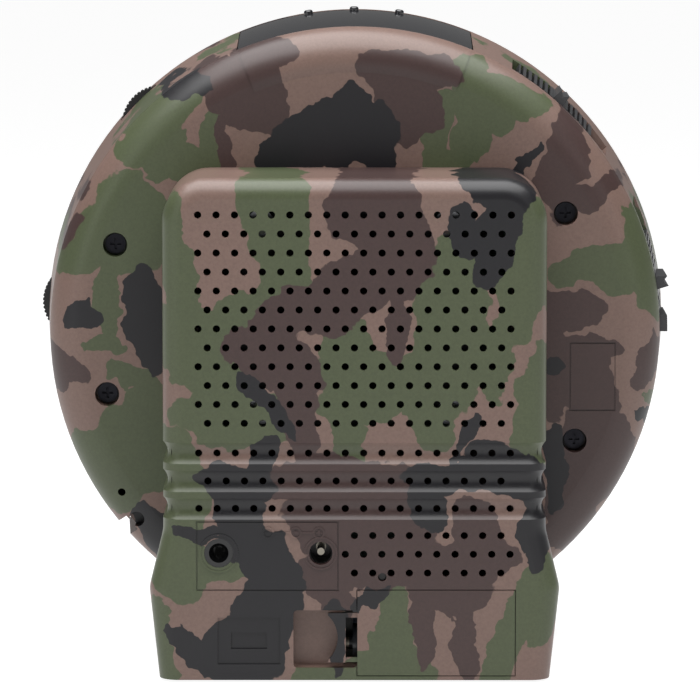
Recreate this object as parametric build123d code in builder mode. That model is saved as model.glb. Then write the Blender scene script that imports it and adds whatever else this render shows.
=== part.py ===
from build123d import *
import math
import os

os.makedirs("parts", exist_ok=True)

# A round bed-shaker alarm clock on a stand, in millimetres.
# The dial faces -Y and the vented back faces +Y. The origin is on the floor, under the middle.

# ---- Overall sizes ----
drum_radius = 89.0
drum_axis_z = 91.5
foot_front_y = -48.25
bezel_y = -40.0
seam_y = -24.0
rim_end_y = 2.0
drum_back_y = 9.5
tower_back_y = 48.0
wall = 2.4
tower_half_width = 52.4
tower_top_z = 138.5

# ---- Clearances ----
slip = 0.3
snug = 0.05
cut_past = 1.0


def upright(y):
    """An upright plane at depth y, with X to the right and Z up; extrusion goes towards the dial."""
    return Plane((0, y, 0), x_dir=(1, 0, 0), z_dir=(0, -1, 0))


def floor_plane(z):
    """A level plane at height z."""
    return Plane((0, 0, z))


def around_drum(radius, degrees):
    """The X and Z of a point at this radius and angle about the drum's axis, 0 at +X and 90 at the top."""
    turn = math.radians(degrees)
    return (radius * math.cos(turn), drum_axis_z + radius * math.sin(turn))


def radial_plane(radius, degrees, y):
    """A plane at this radius and angle whose normal points straight out of the rim."""
    x, z = around_drum(radius, degrees)
    turn = math.radians(degrees)
    return Plane((x, y, z), x_dir=(0, 1, 0), z_dir=(math.cos(turn), 0, math.sin(turn)))


def sector(degrees_from, degrees_to, reach):
    """A wedge face about the drum's axis, for cuts and sliders that follow the rim."""
    middle = (degrees_from + degrees_to) / 2
    with BuildLine() as wedge:
        first = Line((0, drum_axis_z), around_drum(reach, degrees_from))
        arc = ThreePointArc(first @ 1, around_drum(reach, middle), around_drum(reach, degrees_to))
        Line(arc @ 1, (0, drum_axis_z))
    make_face(wedge.edges())


drum_axis = Axis((0, 0, drum_axis_z), (0, 1, 0))

# ---- The stand's outline, the same for all three housing pieces ----
stand_floor_z = 0.8
stand_floor_half = 53.6
belt_z = 26.0
belt_half = 56.3
belt_round = 8.0
neck_z = 42.0
neck_round = 10.0
stand_join_z = 60.0
toe_top_z = 5.2
toe_round = 2.0
tower_corner = 12.0
edge_round = 5.5
inner_half = tower_half_width - wall


def stand_outline(top_z, corner):
    """The stand seen from the front: narrow at the floor, widest at the belt, straight above the neck."""
    half = [
        (stand_floor_half, stand_floor_z),
        (belt_half, belt_z),
        (tower_half_width, neck_z),
        (tower_half_width, top_z),
    ]
    rounds = [0, belt_round, neck_round, corner]
    points = half + [(-x, z) for x, z in reversed(half)]
    with BuildLine() as outline:
        FilletPolyline(*points, radius=rounds + rounds[::-1], close=True)
    make_face(outline.edges())


# ---- Places on the drum's back, from its axis ----
shell_screws = [(67.0, 25.3), (69.5, -16.8), (-58.9, 34.1), (-61.7, -29.9)]
screw_recess_radius = 3.4
screw_recess_depth = 6.0
screw_radius = 1.5
screw_head_radius = 2.8
screw_head_height = 2.2
shell_boss_radius = 4.7
boss_web = 2.0

shoulder_radius = 75.5
rim_draft = 3.2
notch_skin = 1.0
pad_middle_degrees = 30.0
front_edge_round = 2.5

# ---- Snooze bar opening: its ends are upright planes ----
snooze_half_width = 32.9
snooze_front_y = -36.6
snooze_rear_y = 0.6
snooze_travel = 1.5
snooze_thickness = 3.0

# ---- Lanyard notch, its pocket and a pinhole, low on the +X side ----
notch_angle = -40.5
notch_width = 5.0
notch_depth = 3.2
notch_block_width = 10.0
notch_block_depth = 11.0
pocket_radius = 2.2
pocket_reach = 80.8
pocket_depth = 6.0
pinhole_radius = 1.1
pinhole_place = (65.6, -44.7)

# ---- Slide switches on the -X side of the rim ----
slot_front_y = -22.0
slot_rear_y = -1.2
slots = {"mode": (120.8, 145.0), "shaker": (155.4, 180.4)}
strips = {"mode": (122.3, 140.3), "shaker": (162.2, 180.2)}
knobs = {"mode": 131.5, "shaker": 171.0}

# ---- Thumbwheels on the +X side of the rim ----
wheel_radius = 11.0
wheel_proud = 1.3
wheel_front_y = -35.0
wheel_thickness = 4.0
wheel_angles = {"volume": 45.0, "tone": 3.5}
wheel_ridges = 56
wheel_ridge_depth = 0.35
wheel_reach = drum_radius + wheel_proud - wheel_radius
wheel_rear_y = wheel_front_y + wheel_thickness

# ---- Front wall, behind the bezel and the dial ----
front_wall_y = -38.0
front_wall_back_y = front_wall_y + wall
window_half_width = 47.0
window_half_height = 21.0
window_rise = 8.0
button_places = [-36.0, -18.0, 0.0, 18.0, 36.0]
button_drop = -29.0
button_size = (9.0, 5.0)
bezel_outer = 86.0
bezel_inner = 74.0
bezel_slope_width = 4.0
bezel_slope_drop = 0.7

# ---- Main board ----
board_back_y = -26.0
board_thickness = 1.6
board_front_y = board_back_y - board_thickness
board_half = (53.0, 35.0)
board_posts = [(50.0, 31.0), (-50.0, 31.0), (50.0, -31.0), (-50.0, -31.0)]
post_radius = 2.6

# ---- Base plate ----
plate_z = 1.0
plate_thickness = 2.0
plate_top_z = plate_z + plate_thickness
plate_screws = [(47.0, -34.0), (-47.0, -34.0), (47.0, 24.0), (-47.0, 24.0)]
plate_boss_radius = 3.6
plate_boss_top_z = 14.0
boss_rib = 3.0
base_head_height = 1.2
base_screw_length = 8.5

# ---- Potentiometers behind the thumbwheels ----
pot_body_front_y = wheel_rear_y + slip
pot_depth = 5.0
pot_half = 5.4
pot_shaft_radius = 2.0
lug_width = 6.4
lug_thickness = 1.2
lug_post_radius = 2.0
lug_peg_radius = 1.0
lug_peg_rise = 0.6


def lug_places(degrees):
    """The two posts that a potentiometer's lugs sit on, either side of its shaft along the rim."""
    x, z = around_drum(wheel_reach, degrees)
    turn = math.radians(degrees)
    aside = wheel_radius + lug_post_radius + slip
    return [(x - side * aside * math.sin(turn), z + side * aside * math.cos(turn)) for side in (-1, 1)]


# ---- Raised pad below the snooze bar ----
pad_half_angle = 22.3
pad_rise = 0.45
pad_inner_radius = 73.5

# ---- Label frame on the drum's back, from its axis ----
label_frame_place = (-66.6, -11.8)
label_frame_size = (13.0, 19.4)
engrave_width = 0.45
engrave_depth = 0.35

# ---- Slider and its switch ----
slider_rise = 0.1
slider_end_degrees = 3.0
slider_end_rise = 1.3
rib_pitch_degrees = 1.25
rib_depth = 0.6
rib_gap = 0.9
knob_rise = 2.5
knob_half_degrees = 1.6
knob_crest_degrees = 0.9
knob_notch_depth = 1.5
flange_thickness = 1.6
flange_margin = 1.6
flange_ends = {"mode": (118.0, 146.4), "shaker": (158.0, 187.0)}
peg_width = 3.0
peg_depth = 5.0
switch_gap = 1.8
switch_top_reach = drum_radius - rim_draft - wall - slip - flange_thickness - switch_gap
switch_depth = 7.0
switch_length = 22.0
switch_front_y = -17.0
switch_rear_y = -5.0
switch_slot_depth = 3.0
switch_post_radius = 2.5
switch_post_aside = 7.5
switch_post_reach = 78.3
switch_peg_radius = 1.0
switch_peg_length = 2.0
slide_travel = {"mode": (-4.4, 1.2), "shaker": (0.0, 6.5)}
switch_angles = {name: knobs[name] - sum(slide_travel[name]) / 2 for name in knobs}


def switch_post_places(degrees):
    """The two posts that a slide switch sits on."""
    swing = math.degrees(switch_post_aside / switch_post_reach)
    return [around_drum(switch_post_reach, degrees + side * swing) for side in (-1, 1)]


# ---- Opening between the drum and the tower ----
passage_ledge = 6.0
passage_floor_z = 9.0
passage_round = 6.0
tower_screw_places = [(47.4, 118.0), (-47.4, 118.0), (47.4, 50.0), (-47.4, 50.0)]
tower_boss_radius = 3.2
tower_boss_length = 14.0
tower_screw_length = 12.0

# ---- Grooves across the tower ----
groove_heights = [63.5, 55.8, 48.2]
groove_chord = 5.8
groove_depth = 1.25

# ---- Vents ----
vent_radius = 1.0
vent_pitch = 5.0
vent_row_pitch = 5.18
vent_top_z = 128.8
vent_rows = 12
vent_columns = 18
low_vent_centre_x = -20.0
low_vent_top_z = 40.9
low_vent_counts = [9, 10, 9]

# ---- Jack panel ----
panel_left_x = 43.3
panel_right_x = 4.3
panel_top_z = 44.9
panel_bottom_z = 25.6
shaker_jack_place = (37.1, 36.0)
dc_jack_place = (9.2, 36.0)
shaker_hole_radius = 4.0
dc_hole_radius = 3.2
ring_width = 0.5
ring_gap = 0.9
ring_rise = 0.3
polarity_z = 41.7
polarity_places = [23.6, 16.0, 9.7]
polarity_radius = 1.6
polarity_stroke = 0.4

# ---- Reset button ----
reset_place = (-7.6, 29.4)
reset_hole_radius = 1.15
reset_pin_radius = 0.95
reset_travel = 0.3

# ---- Label recess ----
recess_centre = (28.9, 11.7)
recess_size = (17.1, 13.0)
recess_depth = 0.5
recess_inner_size = (9.8, 4.6)
recess_inner_depth = 1.1

# ---- Battery bay, door, latch and finger well ----
door_left_x = -0.8
door_right_x = -43.9
door_top_z = 25.7
door_bottom_z = 2.1
door_gap = 0.25
door_thickness = 1.5
bay_left_x = 3.0
bay_right_x = -45.0
bay_top_z = 25.2
bay_bottom_z = 4.2
bay_depth = 13.0
bay_wall = 1.1
well_left_x = 16.7
well_top_z = 20.2
well_bottom_z = 4.2
well_depth = 5.0
tongue_left_x = 7.2
tongue_right_x = 2.4
tongue_top_z = 19.4
tongue_bottom_z = 5.7
tongue_bite = 2.6
latch_arm = 1.3
latch_arm_drop = 0.6
hinge_tab_reach = 0.8

# ---- Backup cells and contacts ----
cell_radius = 5.15
cell_length = 43.0
cell_tip_radius = 1.9
cell_tip_length = 1.0
contact_thickness = 0.4

# ---- Speaker ----
speaker_radius = 33.0
speaker_z = 100.3
gasket_thickness = 1.0
gasket_width = 4.0
basket_thickness = 1.0
basket_depth = 13.0
basket_throat = 18.0
magnet_radius = 22.5
magnet_thickness = 9.0
cone_radius = 27.0
cone_throat = 8.0
cone_depth = 9.0
cone_thickness = 0.7
cone_cap_height = 4.0
speaker_screw_reach = 36.2
speaker_boss_radius = 2.6
speaker_head_radius = 3.8
surround_thickness = 0.5

# ---- Jack board ----
jack_board_y = 34.0
jack_board_left_x = 46.0
jack_board_right_x = -12.0
jack_board_bottom_z = 26.6
jack_board_top_z = 44.5
jack_posts = [(23.0, 31.0), (23.0, 41.5)]
jack_post_radius = 2.4
jack_body_half = 5.0
jack_nose_radius = 3.95
phone_bore_radius = 1.8
phone_bore_length = 12.0
dc_bore_radius = 3.0
dc_pin_radius = 1.0
dc_pin_root_radius = 1.4
dc_bore_length = 9.0
dc_pin_sink = 0.5
collar_dish = 0.9

# ---- Dial side ----
dial_radius = 73.7
dial_thickness = 1.2
lens_thickness = 1.6
lens_border = 2.0
display_half = (45.0, 19.0)
cap_proud = 0.8
cap_flange = 1.2
flange_border = 0.8
button_stem_radius = 1.2
button_travel = 0.5
tact_half = 3.0
tact_height = 3.2
tact_plunger_radius = 1.6
tact_plunger_height = 0.4

# ---- Snooze switch and springs ----
bump_radius = 1.3
bump_rise = 1.2
bump_round = 0.7
bump_angles = [98.2, 89.8, 81.3]
bump_y = -34.0
snooze_works_y = -20.0
snooze_post_half = 2.0
snooze_shelf_z = 157.0
snooze_shelf_thickness = 2.0
spring_place = 22.0
spring_radius = 2.4
spring_wire = 0.3
spring_turns = 5
spring_seat_radius = 1.6
spring_seat_length = 3.0
spring_pad_radius = 3.4
spring_top_z = 172.0
leg_outer_x = 29.6
leg_thickness = 1.6
leg_width = 6.0
hook_reach = 1.2
hook_height = 2.4
crown_rise = 0.4
bar_front_sink = 0.1
bar_rear_sink = 0.3
bar_rear_round = 1.5

# ---- Screws and feet ----
screw_length = 14.0
small_screw_radius = 1.1
small_screw_length = 7.0
small_head_radius = 2.1
small_head_height = 1.4
cross_width = 0.7
foot_radius = 6.0
foot_sink = 1.2
foot_places = [(36.0, -38.0), (-36.0, -38.0), (38.0, 36.0), (-38.0, 36.0)]
plate_gap = 0.2
plate_half = stand_floor_half - wall - plate_gap

# ---- Ribbon lead ----
ribbon_width = 12.0
ribbon_thickness = 0.9
ribbon_x = 0.0
ribbon_top_z = 62.0
ribbon_low_z = 40.0
ribbon_turn_y = -14.0
ribbon_round = 5.0


def stand_slice(rear_y, front_y, top_z):
    """The solid stand between two depths."""
    with BuildSketch(upright(rear_y)) as face:
        stand_outline(top_z, 0)
    extrude(face.sketch, amount=rear_y - front_y)


def stand_hollow(rear_y, front_y, top_z):
    """The space inside the stand between two depths, open at the floor."""
    with BuildSketch(upright(rear_y)) as face:
        stand_outline(top_z, 0)
        offset(amount=-wall, kind=Kind.INTERSECTION, mode=Mode.REPLACE)
    extrude(face.sketch, amount=rear_y - front_y, mode=Mode.SUBTRACT)


def plate_opening(rear_y, front_y):
    """The opening in the floor that the base plate closes."""
    with BuildSketch(upright(rear_y)) as face:
        with Locations((0, plate_top_z + snug)):
            Rectangle(2 * plate_half + 2 * plate_gap, 2 * plate_top_z, align=(Align.CENTER, Align.MAX))
    extrude(face.sketch, amount=rear_y - front_y, mode=Mode.SUBTRACT)


def snooze_opening():
    """The straight-sided cut that the snooze bar sinks into."""
    with BuildSketch(upright(snooze_rear_y + slip)) as face:
        with Locations((0, drum_axis_z + drum_radius)):
            Rectangle(2 * (snooze_half_width + slip), drum_radius / 2)
    extrude(face.sketch, amount=snooze_rear_y - snooze_front_y + 2 * slip, mode=Mode.SUBTRACT)


def rim_radius(y):
    """The drum's outside radius at a depth, on its moulding draft."""
    return drum_radius - rim_draft * (y - bezel_y) / (rim_end_y - bezel_y)


def notch_block(rear_y, front_y):
    """A solid thickening inside the rim, so that the notch stays closed to the inside."""
    with BuildSketch(upright(rear_y)) as face:
        with Locations(around_drum(rim_radius(seam_y) - notch_skin - notch_block_depth / 2, notch_angle)):
            Rectangle(notch_block_depth, notch_block_width, rotation=notch_angle)
    extrude(face.sketch, amount=rear_y - front_y)


def notch_cut(rear_y, front_y):
    """The lanyard notch, a square cut into the rim."""
    with BuildSketch(upright(rear_y)) as face:
        with Locations(around_drum(drum_radius, notch_angle)):
            Rectangle(2 * (rim_draft + notch_depth), notch_width, rotation=notch_angle)
    extrude(face.sketch, amount=rear_y - front_y, mode=Mode.SUBTRACT)


def boss_ribs(places, reach):
    """Ribs that join screw bosses to the side walls."""
    for x, across in places:
        side = math.copysign(1, x)
        with Locations((side * (abs(x) + reach) / 2, across)):
            Rectangle(reach - abs(x), boss_rib)


def export_piece(piece, label):
    piece.label = label
    export_step(piece, f"parts/{label}.step")


# ---- Front shell: the front of the drum and of the stand ----
with BuildPart() as front_shell:
    with BuildSketch(Plane.YZ):
        with BuildLine():
            Polyline(
                (seam_y, drum_axis_z),
                (seam_y, drum_axis_z + rim_radius(seam_y)),
                (bezel_y, drum_axis_z + drum_radius),
                (bezel_y, drum_axis_z),
                close=True,
            )
        make_face()
    revolve(axis=drum_axis)
    fillet(front_shell.edges().filter_by(GeomType.CIRCLE).sort_by(Axis.Y)[0], radius=front_edge_round)
    stand_slice(seam_y, front_wall_y, stand_join_z)
    with BuildSketch(upright(front_wall_y)):
        toe_half = stand_floor_half + (belt_half - stand_floor_half) * (toe_top_z - stand_floor_z) / belt_z
        with BuildLine():
            toe_floor = Line((-stand_floor_half, stand_floor_z), (stand_floor_half, stand_floor_z))
            toe_top = Line((toe_half, toe_top_z), (-toe_half, toe_top_z))
            Line(toe_floor @ 1, toe_top @ 0)
            Line(toe_top @ 1, toe_floor @ 0)
        make_face()
    extrude(amount=front_wall_y - foot_front_y)
    toe_edges = front_shell.edges().group_by(Axis.Y)[0]
    fillet(toe_edges.filter_by(lambda edge: edge.center().Z > stand_floor_z + slip), radius=toe_round)
    # Hollow behind the front wall, and the recess for the bezel and the dial.
    with BuildSketch(upright(seam_y)):
        with Locations((0, drum_axis_z)):
            Circle(rim_radius(seam_y) - wall)
    extrude(amount=seam_y - front_wall_back_y, mode=Mode.SUBTRACT)
    with BuildSketch(upright(front_wall_y)):
        with Locations((0, drum_axis_z)):
            Circle(bezel_outer)
    extrude(amount=front_wall_y - bezel_y + cut_past, mode=Mode.SUBTRACT)
    stand_hollow(seam_y, front_wall_back_y, stand_join_z)
    plate_opening(seam_y, foot_front_y + wall)
    # Display window and button holes in the front wall.
    with BuildSketch(upright(front_wall_back_y)):
        with Locations((0, drum_axis_z + window_rise)):
            Rectangle(2 * window_half_width, 2 * window_half_height)
        with Locations([(x, drum_axis_z + button_drop) for x in button_places]):
            SlotOverall(button_size[0] + 2 * slip, button_size[1] + 2 * slip)
    extrude(amount=wall, mode=Mode.SUBTRACT)
    # Posts for the main board and the potentiometers, and bosses for the shell screws.
    with BuildSketch(upright(board_front_y)):
        with Locations([(x, drum_axis_z + z) for x, z in board_posts]):
            Circle(post_radius)
    extrude(amount=board_front_y - front_wall_back_y)
    with BuildSketch(upright(board_front_y)):
        with Locations([(x, drum_axis_z + z) for x, z in board_posts]):
            Circle(small_screw_radius)
    extrude(amount=small_screw_length, mode=Mode.SUBTRACT)
    for angle in wheel_angles.values():
        with BuildSketch(upright(pot_body_front_y)):
            with Locations(lug_places(angle)):
                Circle(lug_post_radius)
        extrude(amount=pot_body_front_y - front_wall_back_y)
        with BuildSketch(upright(pot_body_front_y + lug_thickness + lug_peg_rise)):
            with Locations(lug_places(angle)):
                Circle(lug_peg_radius)
        extrude(amount=lug_thickness + lug_peg_rise)
    front_boss_y = drum_back_y - screw_recess_depth - boss_web - slip
    with BuildSketch(upright(front_boss_y)):
        with Locations([(x, drum_axis_z + z) for x, z in shell_screws]):
            Circle(shell_boss_radius)
    extrude(amount=front_boss_y - front_wall_back_y)
    with BuildSketch(upright(front_boss_y)):
        with Locations([(x, drum_axis_z + z) for x, z in shell_screws]):
            Circle(screw_radius)
    extrude(amount=(front_boss_y - front_wall_back_y) / 2, mode=Mode.SUBTRACT)
    # Bosses for the two front screws of the base plate.
    with BuildSketch(floor_plane(plate_top_z + snug)):
        with Locations(plate_screws[:2]):
            Circle(plate_boss_radius)
        boss_ribs(plate_screws[:2], stand_floor_half - wall / 2)
    extrude(amount=plate_boss_top_z - plate_top_z - snug)
    with BuildSketch(floor_plane(plate_top_z)):
        with Locations(plate_screws[:2]):
            Circle(screw_radius)
    extrude(amount=plate_boss_top_z - plate_top_z - wall, mode=Mode.SUBTRACT)
    notch_block(seam_y, front_wall_back_y)
    notch_cut(seam_y, foot_front_y)
    snooze_opening()
    # Slots in the rim for the thumbwheels.
    with BuildSketch(upright(wheel_rear_y + slip)):
        with Locations([around_drum(wheel_reach, angle) for angle in wheel_angles.values()]):
            Circle(wheel_radius + slip)
    extrude(amount=wheel_thickness + 2 * slip, mode=Mode.SUBTRACT)
export_piece(front_shell.part, "front_shell")


# ---- Rear shell: the back of the drum and the middle of the stand ----
seam_edge_z = drum_axis_z + rim_radius(seam_y)
crease = (rim_end_y, drum_axis_z + rim_radius(rim_end_y))
shoulder_end = (drum_back_y, drum_axis_z + shoulder_radius)
shoulder_span = crease[1] - shoulder_end[1]
shoulder_fall = drum_back_y - rim_end_y
shoulder_round = (shoulder_fall**2 + shoulder_span**2) / (2 * shoulder_fall)
pad_turn = math.radians(pad_middle_degrees)
pad_middle = (
    drum_back_y - shoulder_round + (shoulder_round + pad_rise) * math.cos(pad_turn),
    shoulder_end[1] + (shoulder_round + pad_rise) * math.sin(pad_turn),
)
with BuildPart() as snooze_pad:
    with BuildSketch(Plane.YZ):
        with BuildLine():
            pad_arc = ThreePointArc(crease, pad_middle, (drum_back_y, drum_axis_z + pad_inner_radius))
            pad_foot = Line(pad_arc @ 1, (drum_back_y - wall / 2, drum_axis_z + pad_inner_radius))
            pad_inside = Line(pad_foot @ 1, (rim_end_y, crease[1] - wall / 2))
            Line(pad_inside @ 1, crease)
        make_face()
    revolve(axis=drum_axis)
    with BuildSketch(upright(drum_back_y + wall)):
        sector(90 - pad_half_angle, 90 + pad_half_angle, drum_radius + wall)
    extrude(amount=drum_back_y - seam_y, mode=Mode.INTERSECT)

pocket_floor_y = drum_back_y - pocket_depth - wall
pocket_block = notch_block_depth / 2
with BuildPart() as notch_backing:
    notch_block(rim_end_y, seam_y)
    with BuildSketch(upright(drum_back_y - wall - slip)):
        with Locations(around_drum(pocket_reach - pocket_radius + pocket_block / 2, notch_angle)):
            Rectangle(pocket_block, notch_block_width, rotation=notch_angle)
    extrude(amount=drum_back_y - wall - slip - rim_end_y)
    with BuildSketch(Plane.YZ):
        with BuildLine():
            skin_crease = (rim_end_y - notch_skin / 2, crease[1] - notch_skin)
            skin_end = (drum_back_y - notch_skin, drum_axis_z + shoulder_radius)
            skin_front = Line((seam_y, drum_axis_z), (seam_y, seam_edge_z - notch_skin))
            Line(skin_front @ 1, skin_crease)
            TangentArc(skin_end, skin_crease, tangent=(0, 1))
            skin_back = Line(skin_end, (drum_back_y - notch_skin, drum_axis_z))
            Line(skin_back @ 1, skin_front @ 0)
        make_face()
    revolve(axis=drum_axis, mode=Mode.INTERSECT)

with BuildPart() as rear_shell:
    with BuildSketch(Plane.YZ):
        with BuildLine():
            front_edge = Line((seam_y, drum_axis_z), (seam_y, seam_edge_z))
            rim = Line(front_edge @ 1, crease)
            TangentArc(shoulder_end, crease, tangent=(0, 1))
            back = Line(shoulder_end, (drum_back_y, drum_axis_z))
            Line(back @ 1, front_edge @ 0)
        make_face()
    revolve(axis=drum_axis)
    add(snooze_pad.part)
    stand_slice(drum_back_y, seam_y, stand_join_z)
    # Hollow, following the shoulder.
    with BuildSketch(Plane.YZ):
        with BuildLine():
            inner_crease = (rim_end_y - wall / 2, crease[1] - wall)
            inner_end = (drum_back_y - wall, drum_axis_z + shoulder_radius)
            inner_front = Line((seam_y - cut_past, drum_axis_z), (seam_y - cut_past, seam_edge_z - wall))
            Line(inner_front @ 1, inner_crease)
            TangentArc(inner_end, inner_crease, tangent=(0, 1))
            inner_back = Line(inner_end, (drum_back_y - wall, drum_axis_z))
            Line(inner_back @ 1, inner_front @ 0)
        make_face()
    revolve(axis=drum_axis, mode=Mode.SUBTRACT)
    stand_hollow(drum_back_y - wall, seam_y, stand_join_z)
    plate_opening(drum_back_y, seam_y)
    # Passage into the tower.
    passage_half = inner_half - passage_ledge
    passage_top_z = tower_top_z - wall - passage_ledge
    with BuildSketch(upright(drum_back_y)):
        with Locations((0, (passage_floor_z + passage_top_z) / 2)):
            RectangleRounded(2 * passage_half, passage_top_z - passage_floor_z, passage_round)
    extrude(amount=wall, mode=Mode.SUBTRACT)
    # Bosses for the shell screws, recessed from behind.
    boss_front_y = drum_back_y - screw_recess_depth - boss_web
    with BuildSketch(upright(drum_back_y - wall)):
        with Locations([(x, drum_axis_z + z) for x, z in shell_screws]):
            Circle(shell_boss_radius)
    extrude(amount=drum_back_y - wall - boss_front_y)
    with BuildSketch(upright(drum_back_y)):
        with Locations([(x, drum_axis_z + z) for x, z in shell_screws]):
            Circle(screw_recess_radius)
    extrude(amount=screw_recess_depth, mode=Mode.SUBTRACT)
    with BuildSketch(upright(drum_back_y)):
        with Locations([(x, drum_axis_z + z) for x, z in shell_screws]):
            Circle(screw_radius + snug)
    extrude(amount=drum_back_y - boss_front_y, mode=Mode.SUBTRACT)
    # Lanyard notch with its pocket, and the pinhole.
    add(notch_backing.part)
    notch_cut(drum_back_y, seam_y)
    with BuildSketch(upright(drum_back_y)):
        with Locations(around_drum(pocket_reach, notch_angle)):
            Circle(pocket_radius)
        with Locations(around_drum((pocket_reach + drum_radius) / 2, notch_angle)):
            Rectangle(drum_radius - pocket_reach, pocket_radius, rotation=notch_angle)
    extrude(amount=drum_back_y - pocket_floor_y, mode=Mode.SUBTRACT)
    with BuildSketch(upright(drum_back_y)):
        with Locations((pinhole_place[0], drum_axis_z + pinhole_place[1])):
            Circle(pinhole_radius)
    extrude(amount=drum_back_y - rim_end_y + wall, mode=Mode.SUBTRACT)
    # Slots for the two sliders.
    for ends in slots.values():
        with BuildSketch(upright(slot_rear_y)):
            sector(ends[0], ends[1], drum_radius + wall)
        extrude(amount=slot_rear_y - slot_front_y, mode=Mode.SUBTRACT)
    # Posts that carry the two slide switches.
    for angle in switch_angles.values():
        with BuildSketch(upright(drum_back_y - wall)):
            with Locations(switch_post_places(angle)):
                Circle(switch_post_radius)
        extrude(amount=drum_back_y - wall - switch_rear_y)
        with BuildSketch(upright(switch_rear_y)):
            with Locations(switch_post_places(angle)):
                Circle(switch_peg_radius)
        extrude(amount=switch_peg_length)
    # Holes in the ledge for the screws that hold the tower.
    with BuildSketch(upright(drum_back_y)):
        with Locations(tower_screw_places):
            Circle(screw_radius + snug)
    extrude(amount=wall, mode=Mode.SUBTRACT)
    # Engraved label frame.
    with BuildSketch(upright(drum_back_y)):
        with Locations((label_frame_place[0], drum_axis_z + label_frame_place[1])):
            Rectangle(*label_frame_size)
            Rectangle(*[side - 2 * engrave_width for side in label_frame_size], mode=Mode.SUBTRACT)
    extrude(amount=engrave_depth, mode=Mode.SUBTRACT)
    # Shelf under the snooze bar, hung from the back wall, for its switch and springs.
    shelf_half = leg_outer_x + hook_reach + wall
    shelf_front_y = snooze_works_y - spring_radius - boss_web - tact_half
    snooze_opening()
    with BuildSketch(upright(drum_back_y - wall)):
        with Locations((0, snooze_shelf_z - snooze_shelf_thickness / 2)):
            Rectangle(2 * shelf_half, snooze_shelf_thickness)
    extrude(amount=drum_back_y - wall - shelf_front_y)
    with BuildSketch(floor_plane(snooze_shelf_z)):
        with Locations([(side * (leg_outer_x - leg_thickness / 2), snooze_works_y) for side in (-1, 1)]):
            Rectangle(leg_thickness + 2 * slip, leg_width + 2 * slip)
    extrude(amount=-snooze_shelf_thickness, mode=Mode.SUBTRACT)
    with BuildSketch(floor_plane(snooze_shelf_z)):
        with Locations([(side * spring_place, snooze_works_y) for side in (-1, 1)]):
            Circle(spring_seat_radius)
    extrude(amount=spring_seat_length)
export_piece(rear_shell.part, "rear_shell")

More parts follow.
